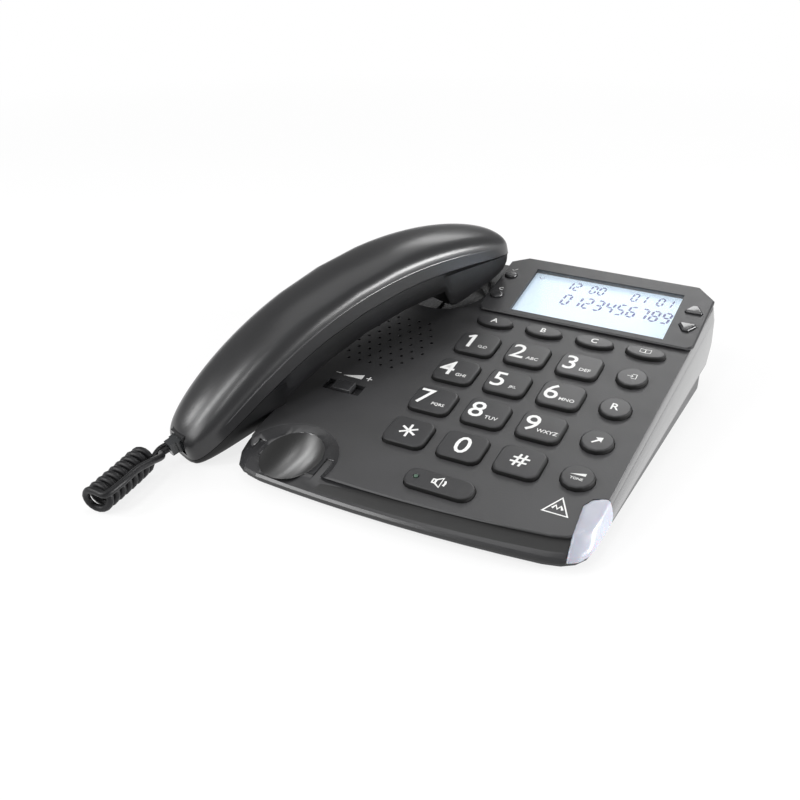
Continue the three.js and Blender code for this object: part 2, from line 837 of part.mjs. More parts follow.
addPiece(panel, "display_panel", displayPanel(), charcoal);
const windowTop = -(windowRecess + fitGap);
const windowBottom = windowTop - windowThickness;
addPiece(
  panel,
  "lcd_window",
  new THREE.BoxGeometry(screenWidth + 2 * windowLedge, screenDepth + 2 * windowLedge, windowThickness),
  clear,
  screenCentreX,
  screenY,
  (windowTop + windowBottom) / 2,
);
addPiece(
  panel,
  "lcd_module",
  new THREE.BoxGeometry(screenWidth + windowLedge, screenDepth + windowLedge, moduleThickness),
  clear,
  screenCentreX,
  screenY,
  windowBottom - fitGap - moduleThickness / 2,
);
for (const button of panelButtons) {
  const under = panelUnder(button.y) + fitGap;
  const flangeTop = under - fitGap * 2;
  const body = keyBody(button.outline, panelButtonRise, flangeTop, flangeTop - keyFlangeThickness);
  addPiece(panel, button.name, body, darkKey, button.x, button.y, 0);
}

const boardWidth = boardLeft + boardRight;
const boardLength = boardFront + boardRear;
const boardX = (boardRight - boardLeft) / 2;
const boardY = (boardRear - boardFront) / 2;
addPiece(
  deck,
  "main_board",
  new THREE.BoxGeometry(boardWidth, boardLength, boardThickness),
  boardGreen,
  boardX,
  boardY,
  boardTop - boardThickness / 2,
);
const matSheet = prism(
  roundedOutline(boardWidth - fitGap, boardLength - fitGap, keyCorner),
  boardTop + fitGap,
  boardTop + fitGap + matThickness,
  boardX,
  boardY,
);
const matHoles = boardPosts.map(([x, y]) => {
  const hole = rod(boardPostRadius + fitGap, boardTop - overrun, boardTop + matThickness + overrun, 10);
  return hole.translate([x, y, 0]);
});
addPiece(deck, "key_mat", subtractAll(matSheet, matHoles), rubber);

const speakerFace = -caseWall - fitGap;
const baseSpeaker = turned(
  [
    [0, speakerFace - speakerDepth],
    [speakerMagnet, speakerFace - speakerDepth],
    [speakerMagnet, speakerFace - speakerDepth / 2],
    [speakerRadius - speakerRim, speakerFace - speakerRim],
    [speakerRadius, speakerFace - speakerRim],
    [speakerRadius, speakerFace],
    [speakerRadius - speakerRim, speakerFace],
    [speakerMagnet, speakerFace - speakerRim],
    [0, speakerFace - speakerRim],
  ],
  24,
);
addPiece(deck, "base_speaker", baseSpeaker, steel, grilleX, grilleV, 0);

const sliderBody = box(
  sliderThumbLength,
  sliderSlotWidth - 2 * slideGap,
  caseWall + fitGap + sliderRise,
  0,
  0,
  (sliderRise - caseWall - fitGap) / 2,
).add(box(
  sliderSlotLength + 2 * sliderTravel,
  sliderSlotWidth + 2 * keyFlange,
  sliderPlate,
  0,
  0,
  -caseWall - fitGap - sliderPlate / 2,
));
addPiece(deck, "volume_slider", sliderBody, darkKey, sliderX, sliderV, 0);

const plungerFloor = -earCupDepth;
const plungerBody = prism(
  roundedOutline(plungerWidth, plungerDepth, 1, 1),
  plungerFloor - plungerStem,
  plungerFloor + plungerRise,
).add(prism(
  roundedOutline(plungerWidth + 2 * keyFlange, plungerDepth + 2 * keyFlange, 1, 1),
  plungerFloor - caseWall * 0.8 - fitGap - keyFlangeThickness,
  plungerFloor - caseWall * 0.8 - fitGap,
));
addPiece(deck, "hook_plunger", plungerBody, darkKey, plungerX, plungerV, 0);

feet.forEach(([x, y], i) => {
  const names = ["foot_front_left", "foot_front_right", "foot_rear_left", "foot_rear_right"];
  const foot = rod(footRadius, 0, footStand + footRecess - fitGap, footSides);
  addPiece(phone, names[i], foot, rubber, x, y, 0);
});

screwPlaces.forEach(([x, y], i) => {
  const headBottom = footStand;
  const headTop = footStand + screwHeadHeight;
  const tip = footStand + lowerFloor + screwBossHeight + screwGrip - fitGap;
  const screw = turned(
    [
      [0, headBottom],
      [screwHeadRadius, headBottom],
      [screwHeadRadius, headTop],
      [screwShankRadius, headTop],
      [screwShankRadius, tip],
      [0, tip],
    ],
    12,
  );
  addPiece(phone, `case_screw_${i + 1}`, screw, steel, x, y, 0);
});

// Modular jack: a block with a square way in along -X
function jackBody(wide, high, deep) {
  const outerWidth = wide + 2 * jackWall;
  const outerHeight = high + 2 * jackWall;
  const block = box(deep + jackWall, outerWidth, outerHeight, (deep + jackWall) / 2, 0, 0);
  const way = box(deep, wide, high, deep / 2 - overrun / 2, 0, 0);
  return block.subtract(way);
}

// Modular plug: tapered nose, clear shoulder and a latch tongue beneath
function plugBody() {
  const inside = plugLength;
  const body = box(inside, plugWidth, plugHeight, inside / 2, 0, 0);
  const nose = box(plugNose + overrun, plugWidth, plugHeight, -(plugNose - overrun) / 2, 0, 0)
    .subtract(box(plugNose * 2, plugWidth / 4, plugHeight * 2, -plugNose, plugWidth / 2, 0))
    .subtract(box(plugNose * 2, plugWidth / 4, plugHeight * 2, -plugNose, -plugWidth / 2, 0));
  const tongue = box(
    latchReach,
    latchWidth,
    latchThickness + overrun,
    latchReach / 2 - plugNose,
    0,
    (overrun - latchThickness - plugHeight) / 2,
  );
  return body.add(nose).add(tongue);
}

const jackWayWidth = plugWidth + 2 * fitGap;
const jackWayHeight = plugHeight + 2 * fitGap;
const baseJackX = lowerLeft + caseWall + fitGap;
addPiece(
  phone,
  "base_handset_jack",
  jackBody(jackWayWidth, jackWayHeight, jackDepth),
  gloss,
  baseJackX,
  handsetJackY,
  plugCentreHeight,
);
const basePlugX = baseJackX + jackDepth - overrun - plugLength - fitGap;
addPiece(phone, "base_plug", plugBody(), clear, basePlugX, handsetJackY, plugCentreHeight);
const lineJack = jackBody(lineJackWidth, lineJackHeight, lineJackDepth);
const linePiece = addPiece(
  phone,
  "line_jack",
  lineJack,
  gloss,
  lineJackX,
  lowerRear - caseWall - fitGap,
  jackFloor + jackWall + lineJackHeight / 2,
);
linePiece.rotation.z = -Math.PI / 2;

// Handset pieces, drawn about their own cradle plane with +X towards the ear
const halfLength = handsetLength / 2;
const backTop = (x) => handsetTop - handsetSag * (x / halfLength) ** 2;
const creaseHeight = (x) => backTop(x) - handsetCrown;
const seamLine = (x) => creaseHeight(x) - handsetSide * (1 - 0.5 * (x / halfLength) ** 4);
const capShare = (x) => {
  const t = (Math.abs(x) - (halfLength - capCentreInset)) / capReach;
  return Math.abs(t) < 1 ? Math.sqrt(1 - t ** 6) : 0;
};
const capBottom = (x) => (x > 0 ? -earDrop : 0);
const innerDepth = (x) => handsetInner * (1 - 0.7 * (x / halfLength) ** 4);
const innerBottom = (x) => THREE.MathUtils.lerp(seamLine(x) - innerDepth(x), capBottom(x), capShare(x));
const sectionSteps = 9;

function handsetStationsFor(inset) {
  const list = [];
  for (let i = 0; i < handsetStations; i += 1) {
    const angle = THREE.MathUtils.lerp(-handsetEndTurn, handsetEndTurn, i / (handsetStations - 1));
    const reach = Math.sign(angle) * Math.abs(Math.sin(angle)) ** (2 / endPower);
    const fullness = Math.cos(angle) ** (2 / endPower);
    list.push({ x: reach * (halfLength - inset), fullness });
  }
  return list;
}

function backRings(inset, low) {
  return handsetStationsFor(inset).map(({ x, fullness }) => {
    const half = handsetHalfWidth * fullness - inset;
    const crown = handsetCrown * fullness - inset * 0.6;
    const crease = creaseHeight(x);
    const ring = [[x, -half, seamLine(x) + low]];
    for (let i = sectionSteps; i >= 0; i -= 1) {
      const angle = (i / sectionSteps) * Math.PI;
      const y = half * Math.cos(angle);
      const lift = crown * Math.sin(angle) ** 0.8;
      ring.push([x, y, crease + lift]);
    }
    ring.push([x, half, seamLine(x) + low]);
    return ring.reverse();
  });
}

function innerRings(inset, high) {
  const ringShares = [
    [1, 0],
    [0.99, 0.35],
    [0.93, 0.75],
    [capBottomShare, 1],
  ];
  return handsetStationsFor(inset).map(({ x, fullness }) => {
    const half = handsetHalfWidth * fullness - inset;
    const top = seamLine(x) - fitGap + high;
    const depth = Math.max(seamLine(x) - fitGap - innerBottom(x) - inset, fitGap);
    const narrow = 1 - capNarrowing * capShare(x);
    const rightSide = ringShares.map(([wide, deep]) => {
      const y = half * wide * (deep > 0 ? narrow : 1);
      return [x, y, top - high - depth * deep];
    });
    rightSide[0][2] = top;
    const leftSide = rightSide.map(([px, py, pz]) => [px, -py, pz]).reverse();
    return [...leftSide, ...rightSide].reverse();
  });
}

handset.rotation.order = "ZYX";
const restSpan = handsetLength - 2 * capCentreInset;
const handsetPitch = Math.asin((earRestHeight - mouthRestHeight) / restSpan);
const handsetYaw = Math.asin((earRestX - mouthRestX) / (restSpan * Math.cos(handsetPitch)));
handset.rotation.z = Math.PI / 2 - handsetYaw;
handset.rotation.y = -handsetPitch;
const earCentre = new THREE.Vector3(restSpan / 2, 0, 0).applyEuler(handset.rotation);
handset.position.set(earRestX - earCentre.x, earRestY - earCentre.y, earRestHeight - earCentre.z);
phone.updateMatrixWorld(true);

const jackX = -halfLength + jackSink;
const jackCentre = new THREE.Vector3(jackX, 0, handsetJackLift);
const jackPocket = box(
  jackDepth + jackWall + 2 * fitGap + overrun,
  jackWayWidth + 2 * (jackWall + fitGap),
  jackWayHeight + 2 * (jackWall + fitGap),
  jackX + (jackDepth + jackWall - overrun) / 2,
  0,
  handsetJackLift,
);

const backShell = loft(backRings(0, 0)).subtract(loft(backRings(handsetWall, -overrun)));
addPiece(handset, "handset_back_shell", backShell.subtract(jackPocket), gloss);
const earX = halfLength - capCentreInset;
const soundHoles = [[earX, 0]];
for (let i = 0; i < 6; i += 1) {
  const angle = (i / 6) * 2 * Math.PI;
  soundHoles.push([earX + soundRing * Math.cos(angle), soundRing * Math.sin(angle)]);
}
soundHoles.push([-earX, 0]);
const soundCuts = soundHoles.map(([x, y]) => {
  const low = capBottom(x) - overrun;
  return rod(soundHole, low, low + handsetWall + overrun * 3, 8).translate([x, y, 0]);
});
const innerShell = loft(innerRings(0, 0)).subtract(loft(innerRings(handsetWall, overrun)));
addPiece(handset, "handset_inner_shell", subtractAll(innerShell, [jackPocket, ...soundCuts]), gloss);
const capsuleSeat = (x, radius) => {
  return Math.max(innerBottom(x - radius), innerBottom(x + radius)) + handsetWall + 2 * fitGap;
};
const earSeat = capsuleSeat(earX, earCapsuleRadius);
const micSeat = capsuleSeat(-earX, micCapsuleRadius);
addPiece(
  handset,
  "ear_capsule",
  rod(earCapsuleRadius, earSeat, earSeat + earCapsuleHeight, 20),
  steel,
  earX,
);
addPiece(
  handset,
  "microphone_capsule",
  rod(micCapsuleRadius, micSeat, micSeat + micCapsuleHeight, 16),
  steel,
  -earX,
);
const weightSeat = innerBottom(0) + handsetWall + fitGap;
addPiece(
  handset,
  "handset_weight",
  new THREE.BoxGeometry(weightLength, weightWidth, weightHeight),
  steel,
  0,
  0,
  weightSeat + weightHeight / 2,
);
addPiece(
  handset,
  "handset_jack",
  jackBody(jackWayWidth, jackWayHeight, jackDepth),
  gloss,
  jackCentre.x,
  jackCentre.y,
  jackCentre.z,
);
const handsetPlugX = jackX + jackDepth - overrun - plugLength - fitGap;
addPiece(handset, "handset_plug", plugBody(), clear, handsetPlugX, 0, handsetJackLift);

// Curly cord
const coilAxisHeight = curlRadius + wireDiameter / 2 + coilRest;
const coilCurve = new THREE.CatmullRomCurve3(
  coilRoute.map(([x, y]) => new THREE.Vector3(x, y, coilAxisHeight)),
  false,
  "centripetal",
);

// How far the coil is pulled straight at a distance along its axis
function pull(distance) {
  const into = THREE.MathUtils.smoothstep(distance, pulledStart, pulledStart + pulledEase);
  return into * (1 - THREE.MathUtils.smoothstep(distance, pulledEnd - pulledEase, pulledEnd));
}

// Points of the helix that winds about the coil's axis
function helixPoints() {
  const list = [];
  const up = new THREE.Vector3(0, 0, 1);
  const length = coilCurve.getLength();
  const stride = wireDiameter / 60;
  let turns = 0;
  for (let distance = 0; distance < length; distance += stride) {
    const pulled = pull(distance);
    if (turns * curlSteps >= list.length) {
      const radius = THREE.MathUtils.lerp(curlRadius, pulledRadius, pulled);
      const centre = coilCurve.getPointAt(distance / length);
      const ahead = coilCurve.getTangentAt(distance / length);
      const side = new THREE.Vector3().crossVectors(up, ahead).normalize();
      const angle = Math.PI / 2 - (list.length / curlSteps) * 2 * Math.PI;
      const lift = radius * Math.sin(angle) + radius - curlRadius;
      list.push(centre.addScaledVector(side, radius * Math.cos(angle)).addScaledVector(up, lift));
    }
    turns += stride / THREE.MathUtils.lerp(curlPitch, pulledPitch, pulled);
  }
  const points = list.slice(0, Math.floor(turns) * curlSteps + 1);
  const first = points[1].clone().sub(points[0]).setZ(0).normalize();
  points.unshift(points[0].clone().addScaledVector(first, -wireDiameter));
  const last = points[points.length - 1].clone().sub(points[points.length - 2]).setZ(0).normalize();
  points.push(points[points.length - 1].clone().addScaledVector(last, wireDiameter));
  return points;
}

// One unbroken tube along given points, its section carried from step to step
function tubeGeometry(points, radius, sides) {
  const rings = [];
  let normal = new THREE.Vector3(0, 0, 1);
  points.forEach((point, i) => {
    const before = points[Math.max(i - 1, 0)];
    const after = points[Math.min(i + 1, points.length - 1)];
    const along = after.clone().sub(before).normalize();
    normal = normal.clone().addScaledVector(along, -normal.dot(along)).normalize();
    const across = new THREE.Vector3().crossVectors(along, normal);
    const ring = [];
    for (let k = 0; k < sides; k += 1) {
      const angle = (k / sides) * 2 * Math.PI;
      const spot = point.clone()
        .addScaledVector(normal, radius * Math.cos(angle))
        .addScaledVector(across, radius * Math.sin(angle));
      ring.push([spot.x, spot.y, spot.z]);
    }
    rings.push(ring);
  });
  return loftGeometry(rings);
}

// Least distance between curls, less the wire, on the helix's own points
function leastCurlGap(points) {
  let least = Infinity;
  for (let i = 0; i < points.length; i += 1) {
    const limit = Math.min(points.length, i + 3 * curlSteps);
    for (let k = i + curlSteps / 2 + 1; k < limit; k += 1) {
      least = Math.min(least, points[i].distanceTo(points[k]));
    }
  }
  return least - wireDiameter;
}

const curls = helixPoints();
const curlCount = (curls.length - 3) / curlSteps;
console.log(`curls ${curlCount}, least gap between curls ${leastCurlGap(curls).toFixed(2)} mm`);
addPiece(phone, "cord_coil", tubeGeometry(curls, wireDiameter / 2, curlSides), cordBlack);

// Straight tail between a plug and the coil, leaving each squarely
function cordTail(points) {
  const curve = new THREE.CatmullRomCurve3(points, false, "centripetal");
  const steps = Math.ceil(curve.getLength() / (2.2 * wireDiameter));
  const outline = ovalOutline(wireDiameter, wireDiameter, tailSides);
  const shape = new THREE.Shape(outline.map(([x, y]) => new THREE.Vector2(x, y)));
  return new THREE.ExtrudeGeometry(shape, { steps, extrudePath: curve, bevelEnabled: false });
}

function plugExit(frame, x, y, z) {
  const start = new THREE.Vector3(x - plugNose - fitGap, y, z);
  const next = new THREE.Vector3(x - plugNose - fitGap - wireDiameter, y, z);
  return [start, next].map((point) => point.applyMatrix4(frame.matrixWorld));
}

function coilMeeting(end, inner) {
  const away = end.clone().sub(inner).normalize();
  const start = end.clone().addScaledVector(away, fitGap);
  return [start.clone().addScaledVector(away, wireDiameter), start];
}

const route = (list) => list.map(([x, y, z]) => new THREE.Vector3(x, y, z));
const handsetTail = cordTail([
  ...plugExit(handset, handsetPlugX, 0, handsetJackLift),
  ...route(handsetTailRoute),
  ...coilMeeting(curls[0], curls[1]),
]);
addPiece(phone, "handset_tail", handsetTail, cordBlack);
const baseTail = cordTail([
  ...plugExit(phone, basePlugX, handsetJackY, plugCentreHeight),
  ...route(baseTailRoute),
  ...coilMeeting(curls[curls.length - 1], curls[curls.length - 2]),
]);
addPiece(phone, "base_tail", baseTail, cordBlack);

// The origin is the centre of the bottom of everything but the cord
phone.updateMatrixWorld(true);
const cordNames = ["cord_coil", "handset_tail", "base_tail", "handset_plug", "base_plug"];
const extent = new THREE.Box3();
phone.traverse((piece) => {
  if (piece.isMesh && !cordNames.includes(piece.name)) {
    extent.union(new THREE.Box3().setFromObject(piece, true));
  }
});
const middle = extent.getCenter(new THREE.Vector3());
phone.position.set(-middle.x, -middle.y, -extent.min.z);
phone.updateMatrixWorld(true);

export default phone;
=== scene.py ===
import math

import bmesh
import bpy
from mathutils import Matrix, Vector


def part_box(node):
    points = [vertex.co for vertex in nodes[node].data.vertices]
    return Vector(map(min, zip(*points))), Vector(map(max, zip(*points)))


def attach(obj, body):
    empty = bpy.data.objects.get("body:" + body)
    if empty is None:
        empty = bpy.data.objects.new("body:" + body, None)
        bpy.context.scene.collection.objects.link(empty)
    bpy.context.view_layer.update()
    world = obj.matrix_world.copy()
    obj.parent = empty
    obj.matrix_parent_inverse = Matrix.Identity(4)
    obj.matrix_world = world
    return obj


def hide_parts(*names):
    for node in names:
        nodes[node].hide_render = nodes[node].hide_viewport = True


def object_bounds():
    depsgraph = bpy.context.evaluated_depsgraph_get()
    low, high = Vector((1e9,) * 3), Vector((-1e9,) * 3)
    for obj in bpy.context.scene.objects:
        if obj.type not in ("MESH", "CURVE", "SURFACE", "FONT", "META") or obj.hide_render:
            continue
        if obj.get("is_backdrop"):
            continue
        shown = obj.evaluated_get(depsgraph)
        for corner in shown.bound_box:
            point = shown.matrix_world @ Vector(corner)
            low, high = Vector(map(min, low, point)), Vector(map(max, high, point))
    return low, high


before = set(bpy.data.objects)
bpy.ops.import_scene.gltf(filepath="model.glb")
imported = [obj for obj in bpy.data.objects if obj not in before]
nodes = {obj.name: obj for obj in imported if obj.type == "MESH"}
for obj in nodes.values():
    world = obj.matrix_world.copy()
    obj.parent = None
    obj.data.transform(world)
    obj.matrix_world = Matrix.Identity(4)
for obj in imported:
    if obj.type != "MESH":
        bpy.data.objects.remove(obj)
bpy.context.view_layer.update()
scene = bpy.context.scene
scene.view_settings.view_transform = "Standard"

# Camera
# The telephone is seen from the front right and a little above, through a
# lens that is a little longer than normal, with the key field in the middle.
foot_low, foot_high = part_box("foot_front_left")
foot_centre = (Vector(foot_low) + Vector(foot_high)) / 2
foot_to_middle = (0.0825, 0.0535)
base_centre = Vector((foot_centre.x + foot_to_middle[0], foot_centre.y + foot_to_middle[1], 0))
aim_offset = Vector((-0.0385, -0.0249, 0.0270))
aim = base_centre + aim_offset
azimuth = math.radians(28.1)
elevation = math.radians(28.52)
stand_off = 0.4428
lens = bpy.data.cameras.new("photo_camera")
lens.lens = 42.75
lens.sensor_width = 36
lens.clip_start = 0.01
camera = bpy.data.objects.new("photo_camera", lens)
scene.collection.objects.link(camera)
away = Vector((
    math.sin(azimuth) * math.cos(elevation),
    -math.cos(azimuth) * math.cos(elevation),
    math.sin(elevation),
))
camera.location = aim + stand_off * away
camera.rotation_euler = (-away).to_track_quat("-Z", "Y").to_euler()
scene.camera = camera


# Handset cord
# A four-core cord in black vinyl, wound hot on a rod so that it keeps its
# curls. A short straight tail at each end is crimped into a modular plug.
class Term:
    """A value on a shader's wire that Python's own signs work on."""

    def __init__(self, finish, socket):
        self.finish = finish
        self.socket = socket

    def _math(self, operation, first, second):
        return self.finish.node("ShaderNodeMath", {"operation": operation}, [first, second])

    def __add__(self, other):
        return self._math("ADD", self, other)

    __radd__ = __add__

    def __sub__(self, other):
        return self._math("SUBTRACT", self, other)

    def __rsub__(self, other):
        return self._math("SUBTRACT", other, self)

    def __mul__(self, other):
        return self._math("MULTIPLY", self, other)

    __rmul__ = __mul__

    def __lt__(self, other):
        return self._math("LESS_THAN", self, other)

    def __gt__(self, other):
        return self._math("GREATER_THAN", self, other)


class Finish:
    """A named surface finish on one principled shader."""

    def __init__(self, name, **constants):
        self.material = bpy.data.materials.new(name)
        self.material.use_nodes = True
        self.tree = self.material.node_tree
        self.shader = self.tree.nodes["Principled BSDF"]
        for socket, value in constants.items():
            self.shader.inputs[socket.replace("_", " ")].default_value = value

    def node(self, kind, settings=None, inputs=None, output=0):
        made = self.tree.nodes.new(kind)
        for name, value in (settings or {}).items():
            if name == "stops":
                ramp = made.color_ramp.elements
                for element, (place, colour) in zip(ramp, value):
                    element.position = place
                    element.color = (*colour, 1)
            else:
                setattr(made, name, value)
        pairs = inputs.items() if isinstance(inputs, dict) else enumerate(inputs or [])
        for socket, value in pairs:
            if isinstance(value, Term):
                self.tree.links.new(value.socket, made.inputs[socket])
            else:
                made.inputs[socket].default_value = value
        return Term(self, made.outputs[output])

    def place(self):
        return self.node("ShaderNodeTexCoord", output="Object")

    def noise(self, scale, detail=2.0, roughness=0.5):
        sizes = {"Vector": self.place(), "Scale": scale, "Detail": detail, "Roughness": roughness}
        return self.node("ShaderNodeTexNoise", None, sizes)

    def feed(self, socket, term):
        self.tree.links.new(term.socket, self.shader.inputs[socket])

    def ramp(self, dark, light, factor):
        return self.node("ShaderNodeValToRGB", {"stops": [(0.3, dark), (0.7, light)]}, {"Fac": factor})

    def tint(self, dark, light, factor):
        self.feed("Base Color", self.ramp(dark, light, factor))

    def bump(self, height, depth):
        self.feed("Normal", self.node("ShaderNodeBump", None, {"Height": height, "Distance": depth}))


def moulded(name, dark, light, roughness, grain, depth, **constants):
    """Plastic with a spark-eroded grain, faint flow marks and uneven gloss."""
    finish = Finish(name, **constants)
    flow = finish.noise(38, 3)
    finish.tint(dark, light, flow)
    speckle = finish.noise(grain, 3, 0.6)
    patches = finish.noise(160, 2)
    finish.feed("Roughness", roughness + 0.10 * (patches - 0.5) + 0.05 * (speckle - 0.5))
    finish.bump(speckle, depth)
    return finish


def shown(piece, body, *replaced):
    """Links a finished piece, makes it ride on a body and stand for nodes."""
    if piece.name not in scene.collection.objects:
        scene.collection.objects.link(piece)
    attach(piece, body)
    if replaced:
        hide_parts(*replaced)
    return piece


vinyl = moulded(
    "cord_vinyl", (0.005, 0.005, 0.006), (0.009, 0.009, 0.010),
    roughness=0.42, grain=2600, depth=0.00003, Specular_IOR_Level=0.3)

wire = 0.0033
curl_radius = 0.0053
curl_pitch = 0.0044
table_gap = 0.0004
coil_height = curl_radius + wire / 2 + table_gap
coil_route = [
    (-0.1278, -0.1336), (-0.1296, -0.118), (-0.1316, -0.104), (-0.1344, -0.092), (-0.1362, -0.082),
    (-0.1373, -0.072), (-0.1368, -0.062), (-0.1368, -0.052), (-0.1385, -0.040), (-0.1435, -0.020),
    (-0.1475, 0.002), (-0.148, 0.026), (-0.139, 0.054),
]
pulled_radius = 0.0006
pulled_pitch = 0.022
pulled_start = 0.034
pulled_end = 0.092
pulled_ease = 0.011
steps_a_curl = 18
strides_a_wire = 60
look_ahead = 6
axis_spacing = 0.0001
tail_spacing = 0.0012
handset_tail_route = [
    (-0.1246, -0.0945, 0.009), (-0.1218, -0.104, 0.0124), (-0.121, -0.114, 0.014),
    (-0.1195, -0.125, 0.014),
]
base_tail_route = [(-0.113, 0.072, 0.0095), (-0.122, 0.070, 0.0115)]
handset_plug_exit = [Vector((-0.09689, -0.10525, 0.00777)), Vector((-0.09808, -0.10820, 0.00689))]
base_plug_exit = [Vector((-0.06903, 0.05205, 0.00890)), Vector((-0.07233, 0.05205, 0.00890))]


def smooth_line(points, spacing, fine_steps=40):
    """Evenly spaced points of a centripetal spline through given points."""
    ends = [2 * points[0] - points[1], *points, 2 * points[-1] - points[-2]]
    fine = []
    for a, b, c, d in zip(ends, ends[1:], ends[2:], ends[3:]):
        reach = [max((q - p).length ** 0.5, 1e-6) for p, q in ((a, b), (b, c), (c, d))]
        leave = ((b - a) / reach[0] - (c - a) / (reach[0] + reach[1]) + (c - b) / reach[1]) * reach[1]
        arrive = ((c - b) / reach[1] - (d - b) / (reach[1] + reach[2]) + (d - c) / reach[2]) * reach[1]
        for i in range(fine_steps):
            t = i / fine_steps
            fine.append(
                (2 * t**3 - 3 * t**2 + 1) * b + (t**3 - 2 * t**2 + t) * leave
                + (3 * t**2 - 2 * t**3) * c + (t**3 - t**2) * arrive
            )
    fine.append(points[-1])
    far = [0.0]
    for p, q in zip(fine, fine[1:]):
        far.append(far[-1] + (q - p).length)
    count = max(2, round(far[-1] / spacing))
    line = []
    step = 0
    for i in range(count + 1):
        goal = far[-1] * i / count
        while step < len(far) - 2 and far[step + 1] < goal:
            step += 1
        share = (goal - far[step]) / max(far[step + 1] - far[step], 1e-9)
        line.append(fine[step].lerp(fine[step + 1], share))
    return line, far[-1]


def eased(share):
    share = min(max(share, 0), 1)
    return share * share * (3 - 2 * share)


def level(direction):
    return Vector((direction.x, direction.y, 0)).normalized()


axis_line, axis_length = smooth_line(
    [Vector((x, y, coil_height)) + base_centre for x, y in coil_route], axis_spacing)
curls = []
stride = wire / strides_a_wire
turns = 0.0
distance = 0.0
while distance < axis_length:
    pulled = eased((distance - pulled_start) / pulled_ease)
    pulled *= 1 - eased((distance - pulled_end + pulled_ease) / pulled_ease)
    if turns * steps_a_curl >= len(curls):
        radius = curl_radius + (pulled_radius - curl_radius) * pulled
        spot = distance / axis_length * (len(axis_line) - 1)
        low = min(int(spot), len(axis_line) - 2)
        centre = axis_line[low].lerp(axis_line[low + 1], spot - low)
        centre = centre + Vector((0, 0, radius - curl_radius))
        ahead = axis_line[min(low + look_ahead, len(axis_line) - 1)] - axis_line[max(low - look_ahead, 0)]
        side = Vector((0, 0, 1)).cross(ahead).normalized()
        turn = math.pi / 2 - len(curls) / steps_a_curl * 2 * math.pi
        curls.append(centre + radius * (math.cos(turn) * side + Vector((0, 0, math.sin(turn)))))
    turns += stride / (curl_pitch + (pulled_pitch - curl_pitch) * pulled)
    distance += stride
del curls[int(turns) * steps_a_curl + 1:]

lead_in = curls[0] - wire * level(curls[1] - curls[0])
lead_out = curls[-1] + wire * level(curls[-1] - curls[-2])
to_handset = lead_in - wire * level(curls[1] - curls[0])
to_base = lead_out + wire * level(curls[-1] - curls[-2])
handset_tail, _ = smooth_line(
    [*handset_plug_exit, *[Vector(p) + base_centre for p in handset_tail_route], to_handset, lead_in],
    tail_spacing)
base_tail, _ = smooth_line(
    [*base_plug_exit, *[Vector(p) + base_centre for p in base_tail_route], to_base, lead_out],
    tail_spacing)
cord_line = base_tail[:-1] + list(reversed(curls)) + list(reversed(handset_tail[:-1]))
cord_length = sum((q - p).length for p, q in zip(cord_line, cord_line[1:]))

cord_curve = bpy.data.curves.new("handset_cord", "CURVE")
cord_curve.dimensions = "3D"
cord_curve.bevel_depth = wire / 2
cord_curve.bevel_resolution = 3
cord_curve.resolution_u = 1
cord_curve.use_fill_caps = True
cord_curve.twist_mode = "MINIMUM"
run = cord_curve.splines.new("POLY")
run.points.add(len(cord_line) - 1)
for point, place in zip(run.points, cord_line):
    point.co = (*place, 1)
run.use_smooth = True
cord_curve.materials.append(vinyl.material)
handset_cord = bpy.data.objects.new("handset_cord", cord_curve)
shown(handset_cord, "base", "cord_coil", "handset_tail", "base_tail")

# Modular plugs
# Clear polycarbonate plugs with a sprung latch tongue, one in the mouth end
# of the handset and one in the left wall of the base.
plug_clear = Finish("plug_polycarbonate", IOR=1.45, Transmission_Weight=0.25, Coat_Weight=0.3)
plug_clear.tint((0.03, 0.032, 0.034), (0.05, 0.052, 0.055), plug_clear.noise(220, 2))
plug_clear.feed("Roughness", 0.12 + 0.10 * plug_clear.noise(500, 2))
plug_clear.bump(plug_clear.noise(900, 1), 0.00002)


def painted(finish, *names):
    """Gives CAD nodes that stay as they are their finish."""
    for name in names:
        nodes[name].data.materials.clear()
        nodes[name].data.materials.append(finish.material)


painted(plug_clear, "base_plug", "handset_plug")

# Upper case
# One moulding in charcoal styrene with key openings, the mouthpiece bowl, the
# earpiece cup and the loudspeaker grille. Its deck has a fine spark grain, and
# the rolled front, the flanks and the bowl, here lined, are polished.
deck_tilt = math.radians(9.62)
deck_height = 0.0248
deck_origin = base_centre + Vector((0, 0, deck_height))
deck_place = Matrix.Translation(deck_origin) @ Matrix.Rotation(deck_tilt, 4, "X")
deck_normal = Vector((0, -math.sin(deck_tilt), math.cos(deck_tilt)))
bowl_on_deck = Vector((-0.0705, -0.070, 0))
bowl_centre = deck_place @ bowl_on_deck
bowl_reach = 0.0158
bowl_shares = Vector((1, 0.886, 1))
lip_top = -0.0004
lip_foot = -0.0034
lip_forward = 0.0725
lip_from_bowl = 0.024
forwards = Vector((0.13, -0.99, 0))
seam_on_base = Vector((0, -0.0695, 0.0056))
seam_normal = Vector((0, -0.0477, 0.9989))
seam_half = 0.0006
right_flank = 0.064
charcoal = ((0.024, 0.024, 0.025), (0.031, 0.031, 0.033))


